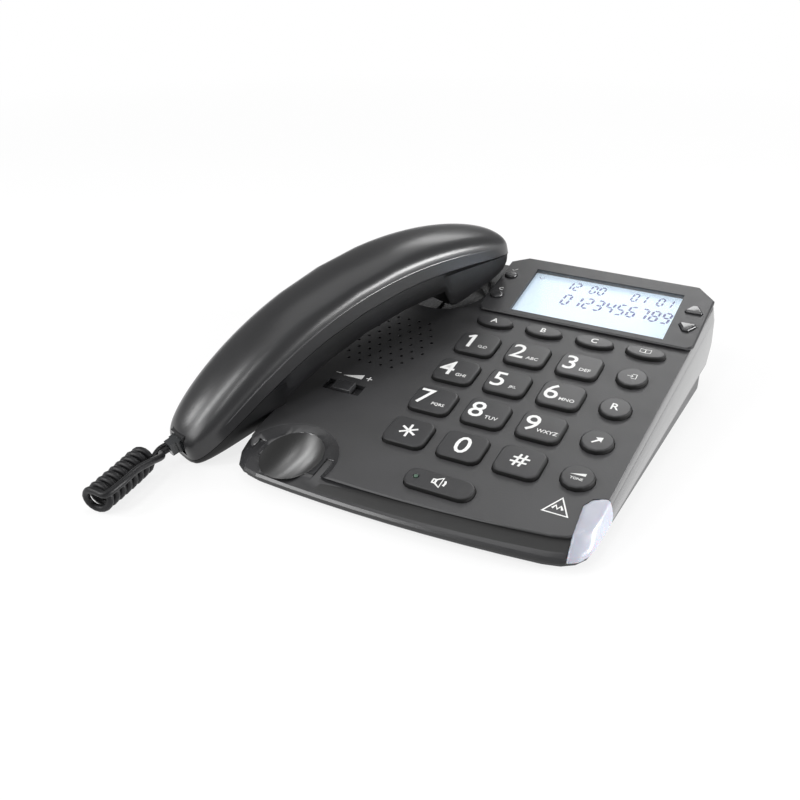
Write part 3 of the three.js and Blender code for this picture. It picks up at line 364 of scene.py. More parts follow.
def fair_copy(node, finish, body, smooth, rim=0.0, rim_above=None):
    """A merged copy of a solid, its sharp rims rounded and its faces shaded smooth."""
    weld, flat, sharp = 0.000004, math.radians(0.4), math.radians(35)
    form = bmesh.new()
    form.from_mesh(nodes[node].data)
    bmesh.ops.remove_doubles(form, verts=form.verts, dist=weld)
    bmesh.ops.dissolve_limit(form, angle_limit=flat, verts=form.verts, edges=form.edges)
    if rim:
        edges = [
            edge for edge in form.edges
            if len(edge.link_faces) == 2 and edge.calc_face_angle(0) > sharp
            and (rim_above is None or all(rim_above(vert.co) for vert in edge.verts))
        ]
        bmesh.ops.bevel(
            form, geom=edges, offset=rim, offset_type="OFFSET", segments=3, profile=0.5,
            affect="EDGES", clamp_overlap=True, material=-1,
        )
    mesh = bpy.data.meshes.new("dressed_" + node)
    form.to_mesh(mesh)
    form.free()
    mesh.polygons.foreach_set("use_smooth", [True] * len(mesh.polygons))
    mesh.set_sharp_from_angle(angle=math.radians(smooth))
    mesh.materials.append(finish.material)
    piece = bpy.data.objects.new(mesh.name, mesh)
    even = piece.modifiers.new("even_normals", "WEIGHTED_NORMAL")
    even.keep_sharp = True
    return shown(piece, body, node)


def vectors(finish, operation, *terms, output="Vector"):
    """Vector maths on the terms of a finish."""
    return finish.node("ShaderNodeVectorMath", {"operation": operation}, terms, output)


def reach_along(finish, direction, origin):
    """How far the surface lies from an origin, along a direction."""
    along = vectors(finish, "DOT_PRODUCT", finish.place(), tuple(direction), output="Value")
    return along - direction.dot(origin)


def tint_shaded(finish, tone, shadow, share):
    """Feeds a tone that turns to a shadow grey by a share."""
    parts = {0: share, 6: tone, 7: (shadow, shadow, shadow, 1)}
    finish.feed("Base Color", finish.node("ShaderNodeMix", {"data_type": "RGBA"}, parts, output=2))


case_finish = Finish("case_charcoal_styrene", Specular_IOR_Level=0.75, Coat_Roughness=0.2)
case_tone = case_finish.ramp(*charcoal, case_finish.noise(30, 3))
over_deck = reach_along(case_finish, deck_normal, deck_origin)
on_deck = over_deck > lip_top
rounded = vectors(case_finish, "MULTIPLY", case_finish.place(), tuple(bowl_shares))
from_bowl = vectors(
    case_finish, "DISTANCE", rounded, tuple(bowl_centre * bowl_shares), output="Value")
in_bowl = from_bowl < bowl_reach
case_grain = case_finish.noise(1500, 3, 0.65)
over_seam = reach_along(case_finish, seam_normal, base_centre + seam_on_base)
forward = reach_along(case_finish, forwards, base_centre)

# The groove under the front lip and the seam of the two cases are darkened,
# because hardly any light reaches them.
under_lip = (over_deck > lip_foot) * (over_deck < lip_top)
under_lip = under_lip * (forward > lip_forward) * (from_bowl > lip_from_bowl)
in_seam = (over_seam > -seam_half) * (over_seam < seam_half)
groove = case_finish.node("ShaderNodeMath", {"operation": "MAXIMUM"}, [under_lip, in_seam])
tint_shaded(case_finish, case_tone, 0.002, 0.92 * groove)
case_gloss = case_finish.noise(120, 2)
case_finish.feed(
    "Roughness",
    0.24 + 0.24 * on_deck + 0.45 * groove - 0.06 * in_bowl + 0.08 * (case_gloss - 0.5),
)
across_base = case_finish.node("ShaderNodeSeparateXYZ", None, [case_finish.place()])
on_right = across_base > base_centre.x + right_flank
case_finish.feed("Coat Weight", on_right * (1 - on_deck))
case_finish.bump(case_grain * (0.25 + 0.75 * on_deck), 0.00005)
upper_case = fair_copy("upper_case", case_finish, "base", smooth=28)

# The polished scoop of the bowl: a thin lining, shaded as a steeper and
# deeper scoop than the one that the solid has.
lining_half_width = 0.01545
lining_half_length = 0.01745
lining_rise = 0.001
lining_sink = 0.00745
lining_wall = 0.0003
lining_weld = 0.000002
rim_angle = 21
rim_to_floor = 24
lining = bmesh.new()
outline = []
for i in range(rim_to_floor + 1):
    sunk = math.radians(rim_angle + (90 - rim_angle) * i / rim_to_floor)
    outline.append(lining.verts.new(
        (lining_half_width * math.cos(sunk), 0, lining_rise - lining_sink * math.sin(sunk))))
for pair in zip(outline, outline[1:]):
    lining.edges.new(pair)
bmesh.ops.spin(
    lining, geom=lining.verts[:] + lining.edges[:], cent=(0, 0, 0), axis=(0, 0, 1),
    angle=2 * math.pi, steps=96, use_merge=True,
)
bmesh.ops.scale(lining, vec=(1, lining_half_length / lining_half_width, 1), verts=lining.verts)
bmesh.ops.remove_doubles(lining, verts=lining.verts, dist=lining_weld)
bmesh.ops.transform(
    lining, matrix=deck_place @ Matrix.Translation(bowl_on_deck), verts=lining.verts)
bmesh.ops.recalc_face_normals(lining, faces=lining.faces)
lining_mesh = bpy.data.meshes.new("bowl_lining")
lining.to_mesh(lining_mesh)
lining.free()
lining_mesh.polygons.foreach_set("use_smooth", [True] * len(lining_mesh.polygons))
bowl_gloss_and_shade = Finish("bowl_polished_styrene", Specular_IOR_Level=1.0)
# The lining is tinted darker than the case around it: painted shade in the hollow of the bowl.
bowl_gloss_and_shade.tint((0.006, 0.006, 0.006), (0.009, 0.009, 0.009), bowl_gloss_and_shade.noise(60, 2))
bowl_gloss_and_shade.feed("Roughness", 0.35 + 0.05 * (bowl_gloss_and_shade.noise(300, 2) - 0.5))
scoop_shift = Vector((0.0015, -0.0445, 0.012))
scoop_radii = (0.0092, 0.0175, 0.0106)
scoop_centre = bowl_centre + scoop_shift
scoop_slope = Vector([-1 / radius**2 for radius in scoop_radii])
from_scoop = vectors(bowl_gloss_and_shade, "SUBTRACT", bowl_gloss_and_shade.place(), tuple(scoop_centre))
steeper = vectors(bowl_gloss_and_shade, "MULTIPLY", from_scoop, tuple(scoop_slope))
bowl_gloss_and_shade.feed("Normal", vectors(bowl_gloss_and_shade, "NORMALIZE", steeper))
lining_mesh.materials.append(bowl_gloss_and_shade.material)
bowl_lining = bpy.data.objects.new("bowl_lining", lining_mesh)
skin = bowl_lining.modifiers.new("skin", "SOLIDIFY")
skin.thickness = lining_wall
skin.offset = -1
shown(bowl_lining, "base")

# Lower case
# A shallow tray in the same charcoal styrene that takes the board, held to
# the upper case by four screws from below.
lower_finish = moulded(
    "lower_charcoal_styrene", (0.030, 0.030, 0.032), (0.038, 0.038, 0.040),
    roughness=0.36, grain=1500, depth=0.00003)
lower_case = fair_copy("lower_case", lower_finish, "base", smooth=28)

# Ringing lamp lens
# A milky acrylic corner piece, clipped behind the case wall, that lights up
# when the telephone rings.
lens_finish = Finish(
    "lens_milky_acrylic", Subsurface_Weight=0.25, Subsurface_Scale=0.004, Coat_Weight=0.25,
    Coat_Roughness=0.3,
)
lens_finish.tint((0.37, 0.385, 0.45), (0.46, 0.475, 0.54), lens_finish.noise(60, 3))
lens_finish.feed("Roughness", 0.22 + 0.08 * lens_finish.noise(300, 2))
lens_finish.bump(lens_finish.noise(140, 2), 0.00006)
lens_voxel = 0.0005
lens_growth = 0.0006

ring_lens = fair_copy("ring_lens", lens_finish, "base", smooth=180)
# The facets of the solid are evened out and softened into one round form.
ring_lens.modifiers.clear()
even = ring_lens.modifiers.new("even", "REMESH")
even.mode = "VOXEL"
even.voxel_size = lens_voxel
even.use_smooth_shade = True
softened = ring_lens.modifiers.new("softened", "SMOOTH")
softened.factor = 0.5
softened.iterations = 26
fuller = ring_lens.modifiers.new("fuller", "DISPLACE")
fuller.mid_level = 0
fuller.strength = lens_growth

# Keys
# Charcoal caps with rounded rims on one silicone mat. The twelve number keys
# are large and square, with round, oval and pill keys around them.
key_rise = 0.0022
key_rim = 0.0005
key_root = 0.0006
flank_top = 0.0016
rim_top = 0.00205
key_finish = Finish("key_charcoal_plastic")
key_tone = key_finish.ramp(*charcoal, key_finish.noise(38, 3))
# The key flanks are painted near black as shade up to just below the rim, where the painted shade fades
# out; the shaded flanks are rougher too.
key_height = reach_along(key_finish, deck_normal, deck_origin)
flank_painted_shade = key_finish.node(
    "ShaderNodeMapRange", None, {0: key_height, 1: flank_top, 2: rim_top, 3: 1.0, 4: 0.0})
tint_shaded(key_finish, key_tone, 0.001, flank_painted_shade)
key_speckle = key_finish.noise(1900, 3, 0.6)
key_finish.feed("Roughness", 0.34 + 0.50 * flank_painted_shade + 0.08 * (key_speckle - 0.5))
key_finish.bump(key_speckle, 0.00003)


def clear_of_deck(spot):
    return (spot - deck_origin).dot(deck_normal) > key_root


key_names = ["key_" + sign for sign in "123456789"] + [
    "key_star", "key_0", "key_hash", "store_key", "recall_key", "redial_key", "mute_key",
    "memory_key_a", "memory_key_b", "memory_key_c", "phonebook_key", "speaker_key",
]
for name in key_names:
    key = fair_copy(
        name, key_finish, name + "_body", smooth=50, rim=key_rim, rim_above=clear_of_deck)

lamp_finish = Finish("lamp_green_lens", Coat_Weight=0.5)
lamp_finish.tint((0.05, 0.10, 0.07), (0.09, 0.15, 0.11), lamp_finish.noise(400, 2))
lamp_finish.feed("Roughness", 0.25 + 0.1 * lamp_finish.noise(900, 1))
painted(lamp_finish, "speaker_lamp")

# Legends of the keys
# White pad printing on the key tops: a large digit with its letters beside
# it, and plain signs on the small keys.
ink = moulded(
    "ink_white", (0.74, 0.74, 0.73), (0.86, 0.86, 0.85), roughness=0.5, grain=2600, depth=0.00001)
ink_depth = 0.00006


def pressed_flat(holder, centre, height, lift):
    """The mesh of a text or curve, set about a centre in its surface's plane."""
    scene.collection.objects.link(holder)
    bpy.context.view_layer.update()
    graph = bpy.context.evaluated_depsgraph_get()
    mesh = bpy.data.meshes.new_from_object(holder.evaluated_get(graph))
    bpy.data.objects.remove(holder)
    spots = [vert.co.copy() for vert in mesh.vertices]
    low = Vector([min(spot[k] for spot in spots) for k in range(3)])
    high = Vector([max(spot[k] for spot in spots) for k in range(3)])
    scale = height / (high.y - low.y) if height else 1
    middle = (low + high) / 2
    thin = ink_depth / (high.z - low.z)
    mesh.transform(Matrix.Translation((-middle.x, -middle.y, -low.z)))
    mesh.transform(Matrix.Diagonal((scale, scale, thin, 1)))
    mesh.transform(Matrix.Translation((centre[0], centre[1], lift)))
    return mesh


def letters(words, height, centre, lift, weight=0.01):
    """Plain letters or digits of one height about a centre."""
    text = bpy.data.curves.new("words", "FONT")
    text.body = words
    text.extrude = 0.1
    text.offset = weight
    text.resolution_u = 3
    return pressed_flat(bpy.data.objects.new("words", text), centre, height, lift)


def strokes(lines, thickness, centre, lift):
    """A drawn sign: open or closed lines of one thickness about a centre."""
    pen = bpy.data.curves.new("sign", "CURVE")
    pen.dimensions = "3D"
    pen.bevel_depth = thickness / 2
    pen.bevel_resolution = 1
    pen.use_fill_caps = True
    for points in lines:
        line = pen.splines.new("POLY")
        closed = points[0] == points[-1]
        used = points[:-1] if closed else points
        line.points.add(len(used) - 1)
        for spot, (x, y) in zip(line.points, used):
            spot.co = (x, y, 0, 1)
        line.use_cyclic_u = closed
    return pressed_flat(bpy.data.objects.new("sign", pen), centre, 0, lift)


def filled(points, centre, lift):
    """A solid sign from the corners of its outline."""
    form = bmesh.new()
    form.faces.new([form.verts.new((centre[0] + x, centre[1] + y, lift)) for x, y in points])
    grown = bmesh.ops.extrude_face_region(form, geom=form.faces[:])
    raised = [item for item in grown["geom"] if isinstance(item, bmesh.types.BMVert)]
    bmesh.ops.translate(form, verts=raised, vec=(0, 0, ink_depth))
    bmesh.ops.recalc_face_normals(form, faces=form.faces)
    mesh = bpy.data.meshes.new("sign")
    form.to_mesh(mesh)
    form.free()
    return mesh


def printed(name, meshes, place, body, finish):
    """One print made of several signs, set on its surface."""
    form = bmesh.new()
    for mesh in meshes:
        form.from_mesh(mesh)
        bpy.data.meshes.remove(mesh)
    bmesh.ops.transform(form, matrix=place, verts=form.verts)
    joined = bpy.data.meshes.new(name)
    form.to_mesh(joined)
    form.free()
    joined.materials.append(finish.material)
    piece = shown(bpy.data.objects.new(name, joined), body)
    return piece


def key_print(key, *signs):
    """Prints signs on a key's top, where they ride with the key."""
    printed("print_" + key, signs, deck_place, key + "_body", ink)


column, row = 0.027, 0.0255
side_column = 0.0529
oval_row = 0.0607
print_gap = 0.00001
top = key_rise + print_gap
digit_height, digit_weight = 0.0112, 0.004
digit_left, digit_up = 0.0046, 0.0006
small_height = 0.0023
small_right, small_down = 0.0038, 0.0034
hair_line, fine_line = 0.0003, 0.0004
one = [
    (0.0002, -0.0056), (0.0020, -0.0056), (0.0020, 0.0056), (0.0007, 0.0056), (-0.0022, 0.0036),
    (-0.0013, 0.0024), (0.0002, 0.0034),
]
reel_radius = 0.0009
reel_rights = (0.0024, 0.0052)
reel_down = 0.0026
tape_down = 0.0036
reel = [
    (reel_radius * math.cos(k * math.pi / 4), reel_radius * math.sin(k * math.pi / 4)) for k in range(9)
]
tape = [(0, 0), (0.0028, 0)]
small_letters = ["", "ABC", "DEF", "GHI", "JKL", "MNO", "PQRS", "TUV", "WXYZ"]
for i, small in enumerate(small_letters):
    digit = str(i + 1)
    x = (i % 3 - 1) * column
    y = (1.5 - i // 3) * row
    digit_spot = (x - digit_left, y + digit_up)
    if small:
        key_print(
            "key_" + digit,
            letters(digit, digit_height, digit_spot, top, digit_weight),
            letters(small, small_height, (x + small_right, y - small_down), top, digit_weight))
    else:
        reels = [strokes([reel], hair_line, (x + right, y - reel_down), top) for right in reel_rights]
        key_print(
            "key_" + digit, filled(one, digit_spot, top), *reels,
            strokes([tape], hair_line, (x + small_right, y - tape_down), top))
key_print("key_0", letters("0", digit_height, (0, -1.5 * row), top, digit_weight))
arm, arm_line = 0.0044, 0.0012
arms = [
    [(0, 0), (arm * math.sin(k * math.pi / 3), arm * math.cos(k * math.pi / 3))] for k in range(6)
]
key_print("key_star", strokes(arms, arm_line, (-column, -1.5 * row), top))
gate_line = 0.0011
gate = [
    [(-0.0035, 0.0014), (0.0041, 0.0014)], [(-0.0041, -0.0014), (0.0035, -0.0014)],
    [(-0.0020, -0.0040), (-0.0006, 0.0040)], [(0.0006, -0.0040), (0.0020, 0.0040)],
]
key_print("key_hash", strokes(gate, gate_line, (column, -1.5 * row), top))

into = [
    [(-0.0022, 0), (0.0006, 0)], [(-0.0004, 0.0010), (0.0006, 0), (-0.0004, -0.0010)],
    [(0.0000, 0.0017), (0.0022, 0.0017), (0.0022, -0.0017), (0.0000, -0.0017)],
]
key_print("store_key", strokes(into, fine_line, (side_column, 1.5 * row), top))
recall_height = 0.0046
key_print("recall_key", letters("R", recall_height, (side_column, 0.5 * row), top))
rising = [
    (-0.0022, -0.0022), (0.0002, 0.0004), (-0.0010, 0.0014), (0.0022, 0.0022), (0.0020, -0.0012),
    (0.0010, -0.0003), (-0.0016, -0.0026),
]
key_print("redial_key", filled(rising, (side_column, -0.5 * row), top))
wedge = [(-0.0034, -0.0008), (0.0032, -0.0006), (0.0032, 0.0012)]
wedge_up, tone_down, tone_height = 0.0012, 0.0018, 0.0015
key_print(
    "mute_key",
    filled(wedge, (side_column, -1.5 * row + wedge_up), top),
    letters("TONE", tone_height, (side_column, -1.5 * row - tone_down), top))
memory_height = 0.0038
for letter, x in (("A", -column), ("B", 0), ("C", column)):
    key_print("memory_key_" + letter.lower(), letters(letter, memory_height, (x, oval_row), top))
book = [
    [(0, -0.0014), (-0.0026, -0.0010), (-0.0026, 0.0018), (0, 0.0014), (0.0026, 0.0018),
     (0.0026, -0.0010), (0, -0.0014)],
    [(0, -0.0014), (0, 0.0014)],
]
key_print("phonebook_key", strokes(book, fine_line, (side_column, oval_row), top))
horn = [
    [(-0.0026, 0.0011), (-0.0012, 0.0011), (0.0014, 0.0030), (0.0014, -0.0030), (-0.0012, -0.0011),
     (-0.0026, -0.0011), (-0.0026, 0.0011)],
    [(0.0028, 0.0016), (0.0032, 0), (0.0028, -0.0016)],
    [(-0.0012, 0.0011), (-0.0012, -0.0011)],
]
horn_spot, horn_line = (0.0010, -0.0644), 0.0010
key_print("speaker_key", strokes(horn, horn_line, horn_spot, top))

# Signs on the deck
# A sign for hearing aids and a loudness wedge by the slider, both pad
# printed in white on the case.
ground = 0.00002
triangle = [(-0.0054, -0.0046), (0.0054, -0.0046), (0.0000, 0.0052), (-0.0054, -0.0046)]
wave = [(-0.0022, -0.0016), (-0.0011, 0.0005), (0, -0.0016), (0.0011, 0.0005), (0.0022, -0.0016)]
triangle_spot, triangle_line = (0.0512, -0.0560), 0.0013
wave_spot, wave_line = (0.0512, -0.0572), 0.0011
printed(
    "print_hearing_sign",
    [strokes([triangle], triangle_line, triangle_spot, ground),
     strokes([wave], wave_line, wave_spot, ground)],
    deck_place, "base", ink)
loud = [(-0.0052, -0.0012), (0.0052, -0.0012), (0.0052, 0.0024)]
minus = [[(-0.0014, 0), (0.0014, 0)]]
plus = [[(-0.0016, 0), (0.0016, 0)], [(0, -0.0016), (0, 0.0016)]]
sign_line = 0.0006
loud_spot = (-0.0738, -0.0080)
minus_spot = (-0.0822, -0.0080)
plus_spot = (-0.0650, -0.0076)
printed(
    "print_loudness_wedge",
    [filled(loud, loud_spot, ground), strokes(minus, sign_line, minus_spot, ground),
     strokes(plus, sign_line, plus_spot, ground)],
    deck_place, "base", ink)

# Volume slider and hook plunger
# Small black acetal pieces: a thumb slide in its slot, and the sprung
# plunger that the earpiece presses down.
acetal = moulded(
    "acetal_black", (0.026, 0.026, 0.027), (0.038, 0.038, 0.040),
    roughness=0.26, grain=1700, depth=0.00003, Coat_Weight=0.3)
small_rim = 0.0004
slider = fair_copy("volume_slider", acetal, "slider_body", smooth=40, rim=small_rim)
plunger = fair_copy("hook_plunger", acetal, "hook_body", smooth=40, rim=small_rim)

# Display panel
# A bevelled frame in charcoal styrene let into the deck, with four small
# buttons and a clear window over the liquid crystal display.
panel_lean = math.radians(3)
panel_on_deck = Vector((0, 0.0704, 0.0018))
panel_origin = deck_place @ panel_on_deck
panel_place = Matrix.Translation(panel_origin) @ Matrix.Rotation(deck_tilt + panel_lean, 4, "X")
panel_finish = moulded(
    "panel_charcoal_styrene", (0.028, 0.028, 0.030), (0.036, 0.036, 0.038),
    roughness=0.40, grain=1600, depth=0.00004)
panel = fair_copy("display_panel", panel_finish, "base", smooth=30, rim=small_rim)
button_gloss = moulded(
    "button_gloss_black", (0.030, 0.030, 0.031), (0.042, 0.042, 0.044),
    roughness=0.2, grain=1700, depth=0.00001, Coat_Weight=0.5)
button_finishes = {
    "menu_button": acetal, "clear_button": acetal, "up_button": button_gloss, "down_button": button_gloss,
}
for name, finish in button_finishes.items():
    button = fair_copy(name, finish, name + "_body", smooth=50, rim=small_rim)

window_finish = Finish("window_acrylic", IOR=1.45, Alpha=0.10)
window_finish.tint((0.80, 0.84, 0.88), (0.86, 0.89, 0.92), window_finish.noise(90, 2))
window_finish.feed("Roughness", 0.04 + 0.04 * window_finish.noise(300, 2))
painted(window_finish, "lcd_window")

# The pale blue also glows at a set strength: painted light that evens out the shade that the frame casts
# on it.
glass = Finish("lcd_pale_blue", Specular_IOR_Level=0.3, Emission_Strength=0.42)
glass_tone = glass.ramp((0.52, 0.64, 0.76), (0.56, 0.68, 0.79), glass.noise(24, 2))
glass.feed("Base Color", glass_tone)
glass.feed("Emission Color", glass_tone)
glass.feed("Roughness", 0.25 + 0.06 * glass.noise(400, 2))
glass.bump(glass.noise(3000, 1), 0.00001)
painted(glass, "lcd_module")

crystal = Finish("lcd_segment_blue")
crystal.tint((0.03, 0.035, 0.22), (0.06, 0.07, 0.30), crystal.noise(500, 2))
crystal.feed("Roughness", 0.35 + 0.1 * crystal.noise(700, 1))
bars = {
    "a": ((-0.5, 1), (0.5, 1)), "b": ((0.5, 1), (0.5, 0)), "c": ((0.5, 0), (0.5, -1)),
    "d": ((-0.5, -1), (0.5, -1)), "e": ((-0.5, 0), (-0.5, -1)), "f": ((-0.5, 1), (-0.5, 0)),
    "g": ((-0.5, 0), (0.5, 0)),
}
lit = {
    "0": "abcdef", "1": "bc", "2": "abged", "3": "abgcd", "4": "fgbc", "5": "afgcd",
    "6": "afgedc", "7": "abc", "8": "abcdefg", "9": "abcdfg",
}
bar_point_share = 0.30
bar_thick_share = 0.135
bar_width_share = 0.60
lean_share = 0.06
crystal_top = -0.00289


def segment(start, end, thick, centre):
    """One bar of a digit: a thin six-cornered bar with pointed ends."""
    a, b = Vector(start), Vector(end)
    along = (b - a).normalized()
    across = Vector((-along.y, along.x)) * thick / 2
    a, b = a + along * thick * bar_point_share, b - along * thick * bar_point_share
    inner_a, inner_b = a + along * thick / 2, b - along * thick / 2
    ring = [a, inner_a + across, inner_b + across, b, inner_b - across, inner_a - across]
    return filled([tuple(point) for point in ring], centre, crystal_top)


def read_out(words, height, pitch, left, middle):
    """A row of seven-bar digits that lean a little to the right."""
    signs = []
    for i, digit in enumerate(words):
        for bar in lit.get(digit, ""):
            ends = []
            for x, y in bars[bar]:
                ends.append((x * pitch * bar_width_share + y * height * lean_share, y * height / 2))
            signs.append(segment(*ends, height * bar_thick_share, (left + i * pitch, middle)))
    return signs


chevron = [[(-0.0016, 0.0008), (0, -0.0008), (0.0016, 0.0008)]]
chevron_spot, chevron_line = (-0.0205, 0.0412), 0.0005
rows = read_out("0123456789", height=0.0092, pitch=0.0060, left=-0.0005, middle=0.0255)
rows += read_out("12 00   01 01", height=0.0070, pitch=0.0046, left=-0.0035, middle=0.0388)
rows.append(strokes(chevron, chevron_line, chevron_spot, crystal_top))
printed("lcd_read_out", rows, panel_place, "base", crystal)

tick = [[(-0.0014, 0), (-0.0004, -0.0010), (0.0014, 0.0012)]]
tick_spot = (-0.0362, 0.0405)
clear_spot, clear_height = (-0.0362, 0.0205), 0.0024
printed(
    "print_menu_sign", [strokes(tick, fine_line, tick_spot, ground)],
    panel_place, "base", ink)
printed(
    "print_clear_sign", [letters("C", clear_height, clear_spot, ground)],
    panel_place, "base", ink)

# Handset
# Two styrene mouldings that meet along a shadow line low on the flank: a glossy back shell with a crease
# along each side, whose bead is tinted lighter as a painted highlight, and a plainer inner shell, tinted
# darker as painted shade, that drops to the earpiece and mouthpiece caps.
gloss_black = Finish("handset_gloss_styrene", Coat_Weight=0.1, Coat_Roughness=0.2)
gloss_black.tint((0.016, 0.016, 0.017), (0.021, 0.021, 0.022), gloss_black.noise(26, 3))
gloss_black.feed("Roughness", 0.31 + 0.07 * (gloss_black.noise(200, 2) - 0.5))
gloss_black.bump(gloss_black.noise(1800, 2), 0.00001)

handset_half = 0.106
shell_half = 0.0191
shell_rise = 0.0116
crown_height = 0.048
crown_sag = 0.0284
seam_drop = 0.007
shadow_gap = 0.0003
grip_depth = 0.0140
grip_thinning_share = 0.84
cap_middle = 0.027
cap_half = 0.026
cap_narrowing_share = 0.2
ear_drop = 0.0054
end_power = 4.6
crown_power = 0.8
stations = 97
last_angle = 89.6
arc_steps = 24
along = Vector((0.3620, 0.8936, 0.2654)).normalized()
across = Vector((0, 0, 1)).cross(along).normalized()
handset_on_base = Vector((-0.0864, 0.01578, 0.02627))
handset_turn = Matrix((along, across, along.cross(across))).transposed().to_4x4()
handset_place = Matrix.Translation(base_centre + handset_on_base) @ handset_turn


def crease_height(reach):
    return crown_height - crown_sag * reach**2 - shell_rise


def seam_line(reach):
    return crease_height(reach) - seam_drop * (1 - 0.5 * reach**4)


def inner_depth(reach):
    """Depth of the inner shell under the seam, and how far it belongs to a cap."""
    into_cap = (abs(reach) * handset_half - (handset_half - cap_middle)) / cap_half
    cap = math.sqrt(1 - into_cap**6) if abs(into_cap) < 1 else 0
    grip = grip_depth * (1 - grip_thinning_share * reach**4)
    cap_depth = seam_line(reach) + (ear_drop if reach > 0 else 0)
    return max(grip + (cap_depth - grip) * cap - shadow_gap, shadow_gap), cap


def lofted(name, rings, cutters, finish):
    """A smooth closed shell through rings in the handset's frame, with openings cut."""
    form = bmesh.new()
    loops = []
    for ring in rings:
        verts = [form.verts.new(handset_place @ Vector(spot)) for spot in ring]
        loops.append([form.edges.new(pair) for pair in zip(verts, verts[1:] + verts[:1])])
    for a, b in zip(loops, loops[1:]):
        bmesh.ops.bridge_loops(form, edges=a + b)
    for end in (loops[0], loops[-1]):
        bmesh.ops.contextual_create(form, geom=end)
    bmesh.ops.recalc_face_normals(form, faces=form.faces)
    mesh = bpy.data.meshes.new(name)
    form.to_mesh(mesh)
    form.free()
    body = bpy.data.objects.new(name + "_blank", mesh)
    tool = bpy.data.objects.new(name + "_cutter", cutters)
    for item in (body, tool):
        scene.collection.objects.link(item)
    cut = body.modifiers.new("openings", "BOOLEAN")
    cut.operation = "DIFFERENCE"
    cut.solver = "EXACT"
    cut.object = tool
    bpy.context.view_layer.update()
    graph = bpy.context.evaluated_depsgraph_get()
    made = bpy.data.meshes.new_from_object(body.evaluated_get(graph))
    for item in (body, tool):
        bpy.data.objects.remove(item)
    made.name = name
    made.polygons.foreach_set("use_smooth", [True] * len(made.polygons))
    made.set_sharp_from_angle(angle=math.radians(30))
    made.materials.clear()
    made.materials.append(finish.material)
    piece = bpy.data.objects.new(name, made)
    even = piece.modifiers.new("even_normals", "WEIGHTED_NORMAL")
    even.keep_sharp = True
    return piece


back_rings = []
inner_rings = []
inner_shape_shares = [
    (1, 0), (0.998, 0.16), (0.99, 0.35), (0.967, 0.57), (0.93, 0.75), (0.84, 0.93), (0.72, 1),
]
for i in range(stations):
    angle = math.radians(-last_angle + 2 * last_angle * i / (stations - 1))
    reach = math.copysign(abs(math.sin(angle)) ** (2 / end_power), angle)
    fullness = math.cos(angle) ** (2 / end_power)
    x = reach * handset_half
    half = shell_half * fullness
    ring = [(x, -half, seam_line(reach))]
    for k in range(arc_steps + 1):
        turn = (1 - k / arc_steps) * math.pi
        rise = shell_rise * fullness * max(math.sin(turn), 0) ** crown_power
        ring.append((x, half * math.cos(turn), crease_height(reach) + rise))
    ring.append((x, half, seam_line(reach)))
    back_rings.append(ring)
    depth, cap = inner_depth(reach)
    edge = seam_line(reach) - shadow_gap
    right = []
    for wide, deep in inner_shape_shares:
        tuck = 1 - cap_narrowing_share * cap if deep else 1
        right.append((x, half * wide * tuck, edge - depth * deep))
    inner_rings.append([(px, -py, pz) for px, py, pz in right] + right[::-1])

pocket_gap = 0.0003
pocket_mouth = 0.004
jack_spots = [handset_place.inverted() @ vert.co for vert in nodes["handset_jack"].data.vertices]
jack_low = Vector([min(spot[k] for spot in jack_spots) - pocket_gap for k in range(3)])
jack_high = Vector([max(spot[k] for spot in jack_spots) + pocket_gap for k in range(3)])
jack_low.x -= pocket_mouth
pocket = bmesh.new()
bmesh.ops.create_cube(pocket, size=1, matrix=handset_place @ Matrix.LocRotScale(
    (jack_low + jack_high) / 2, None, jack_high - jack_low))
pocket_mesh = bpy.data.meshes.new("jack_pocket")
pocket.to_mesh(pocket_mesh)
pocket.free()
back_shell = shown(
    lofted("dressed_handset_back", back_rings, pocket_mesh, gloss_black),
    "handset_body", "handset_back_shell")

sound_reach = 0.079
sound_ring = 0.007
sound_radius = 0.0012
drill_length = 0.004
holes = [(sound_reach, 0), (-sound_reach, 0)]
for k in range(6):
    turn = k * math.pi / 3
    holes.append((sound_reach + sound_ring * math.cos(turn), sound_ring * math.sin(turn)))
drill = bmesh.new()
for x, y in holes:
    bmesh.ops.create_cone(
        drill, cap_ends=True, segments=16, radius1=sound_radius, radius2=sound_radius, depth=drill_length,
        matrix=handset_place @ Matrix.Translation((x, y, -ear_drop if x > 0 else 0)),
    )
drill_mesh = bpy.data.meshes.new("sound_holes")
drill.to_mesh(drill_mesh)
drill.free()
inner_shade_black = Finish("handset_inner_styrene", Specular_IOR_Level=0.3)
# The inner shell is tinted darker than the back shell: painted shade on the handset's underside.
inner_shade_black.tint((0.006, 0.006, 0.006), (0.009, 0.009, 0.010), inner_shade_black.noise(26, 3))
inner_shade_black.feed("Roughness", 0.42 + 0.07 * (inner_shade_black.noise(200, 2) - 0.5))
inner_shade_black.bump(inner_shade_black.noise(1800, 2), 0.00001)
inner_shell = shown(
    lofted("dressed_handset_inner", inner_rings, drill_mesh, inner_shade_black),
    "handset_body", "handset_inner_shell")
painted(gloss_black, "handset_jack", "base_handset_jack", "line_jack")

crease_radius = 0.0006
crease_inset = 0.0003
crease_share = 0.93
crease_steps = 60
crease_tip_share = 0.02
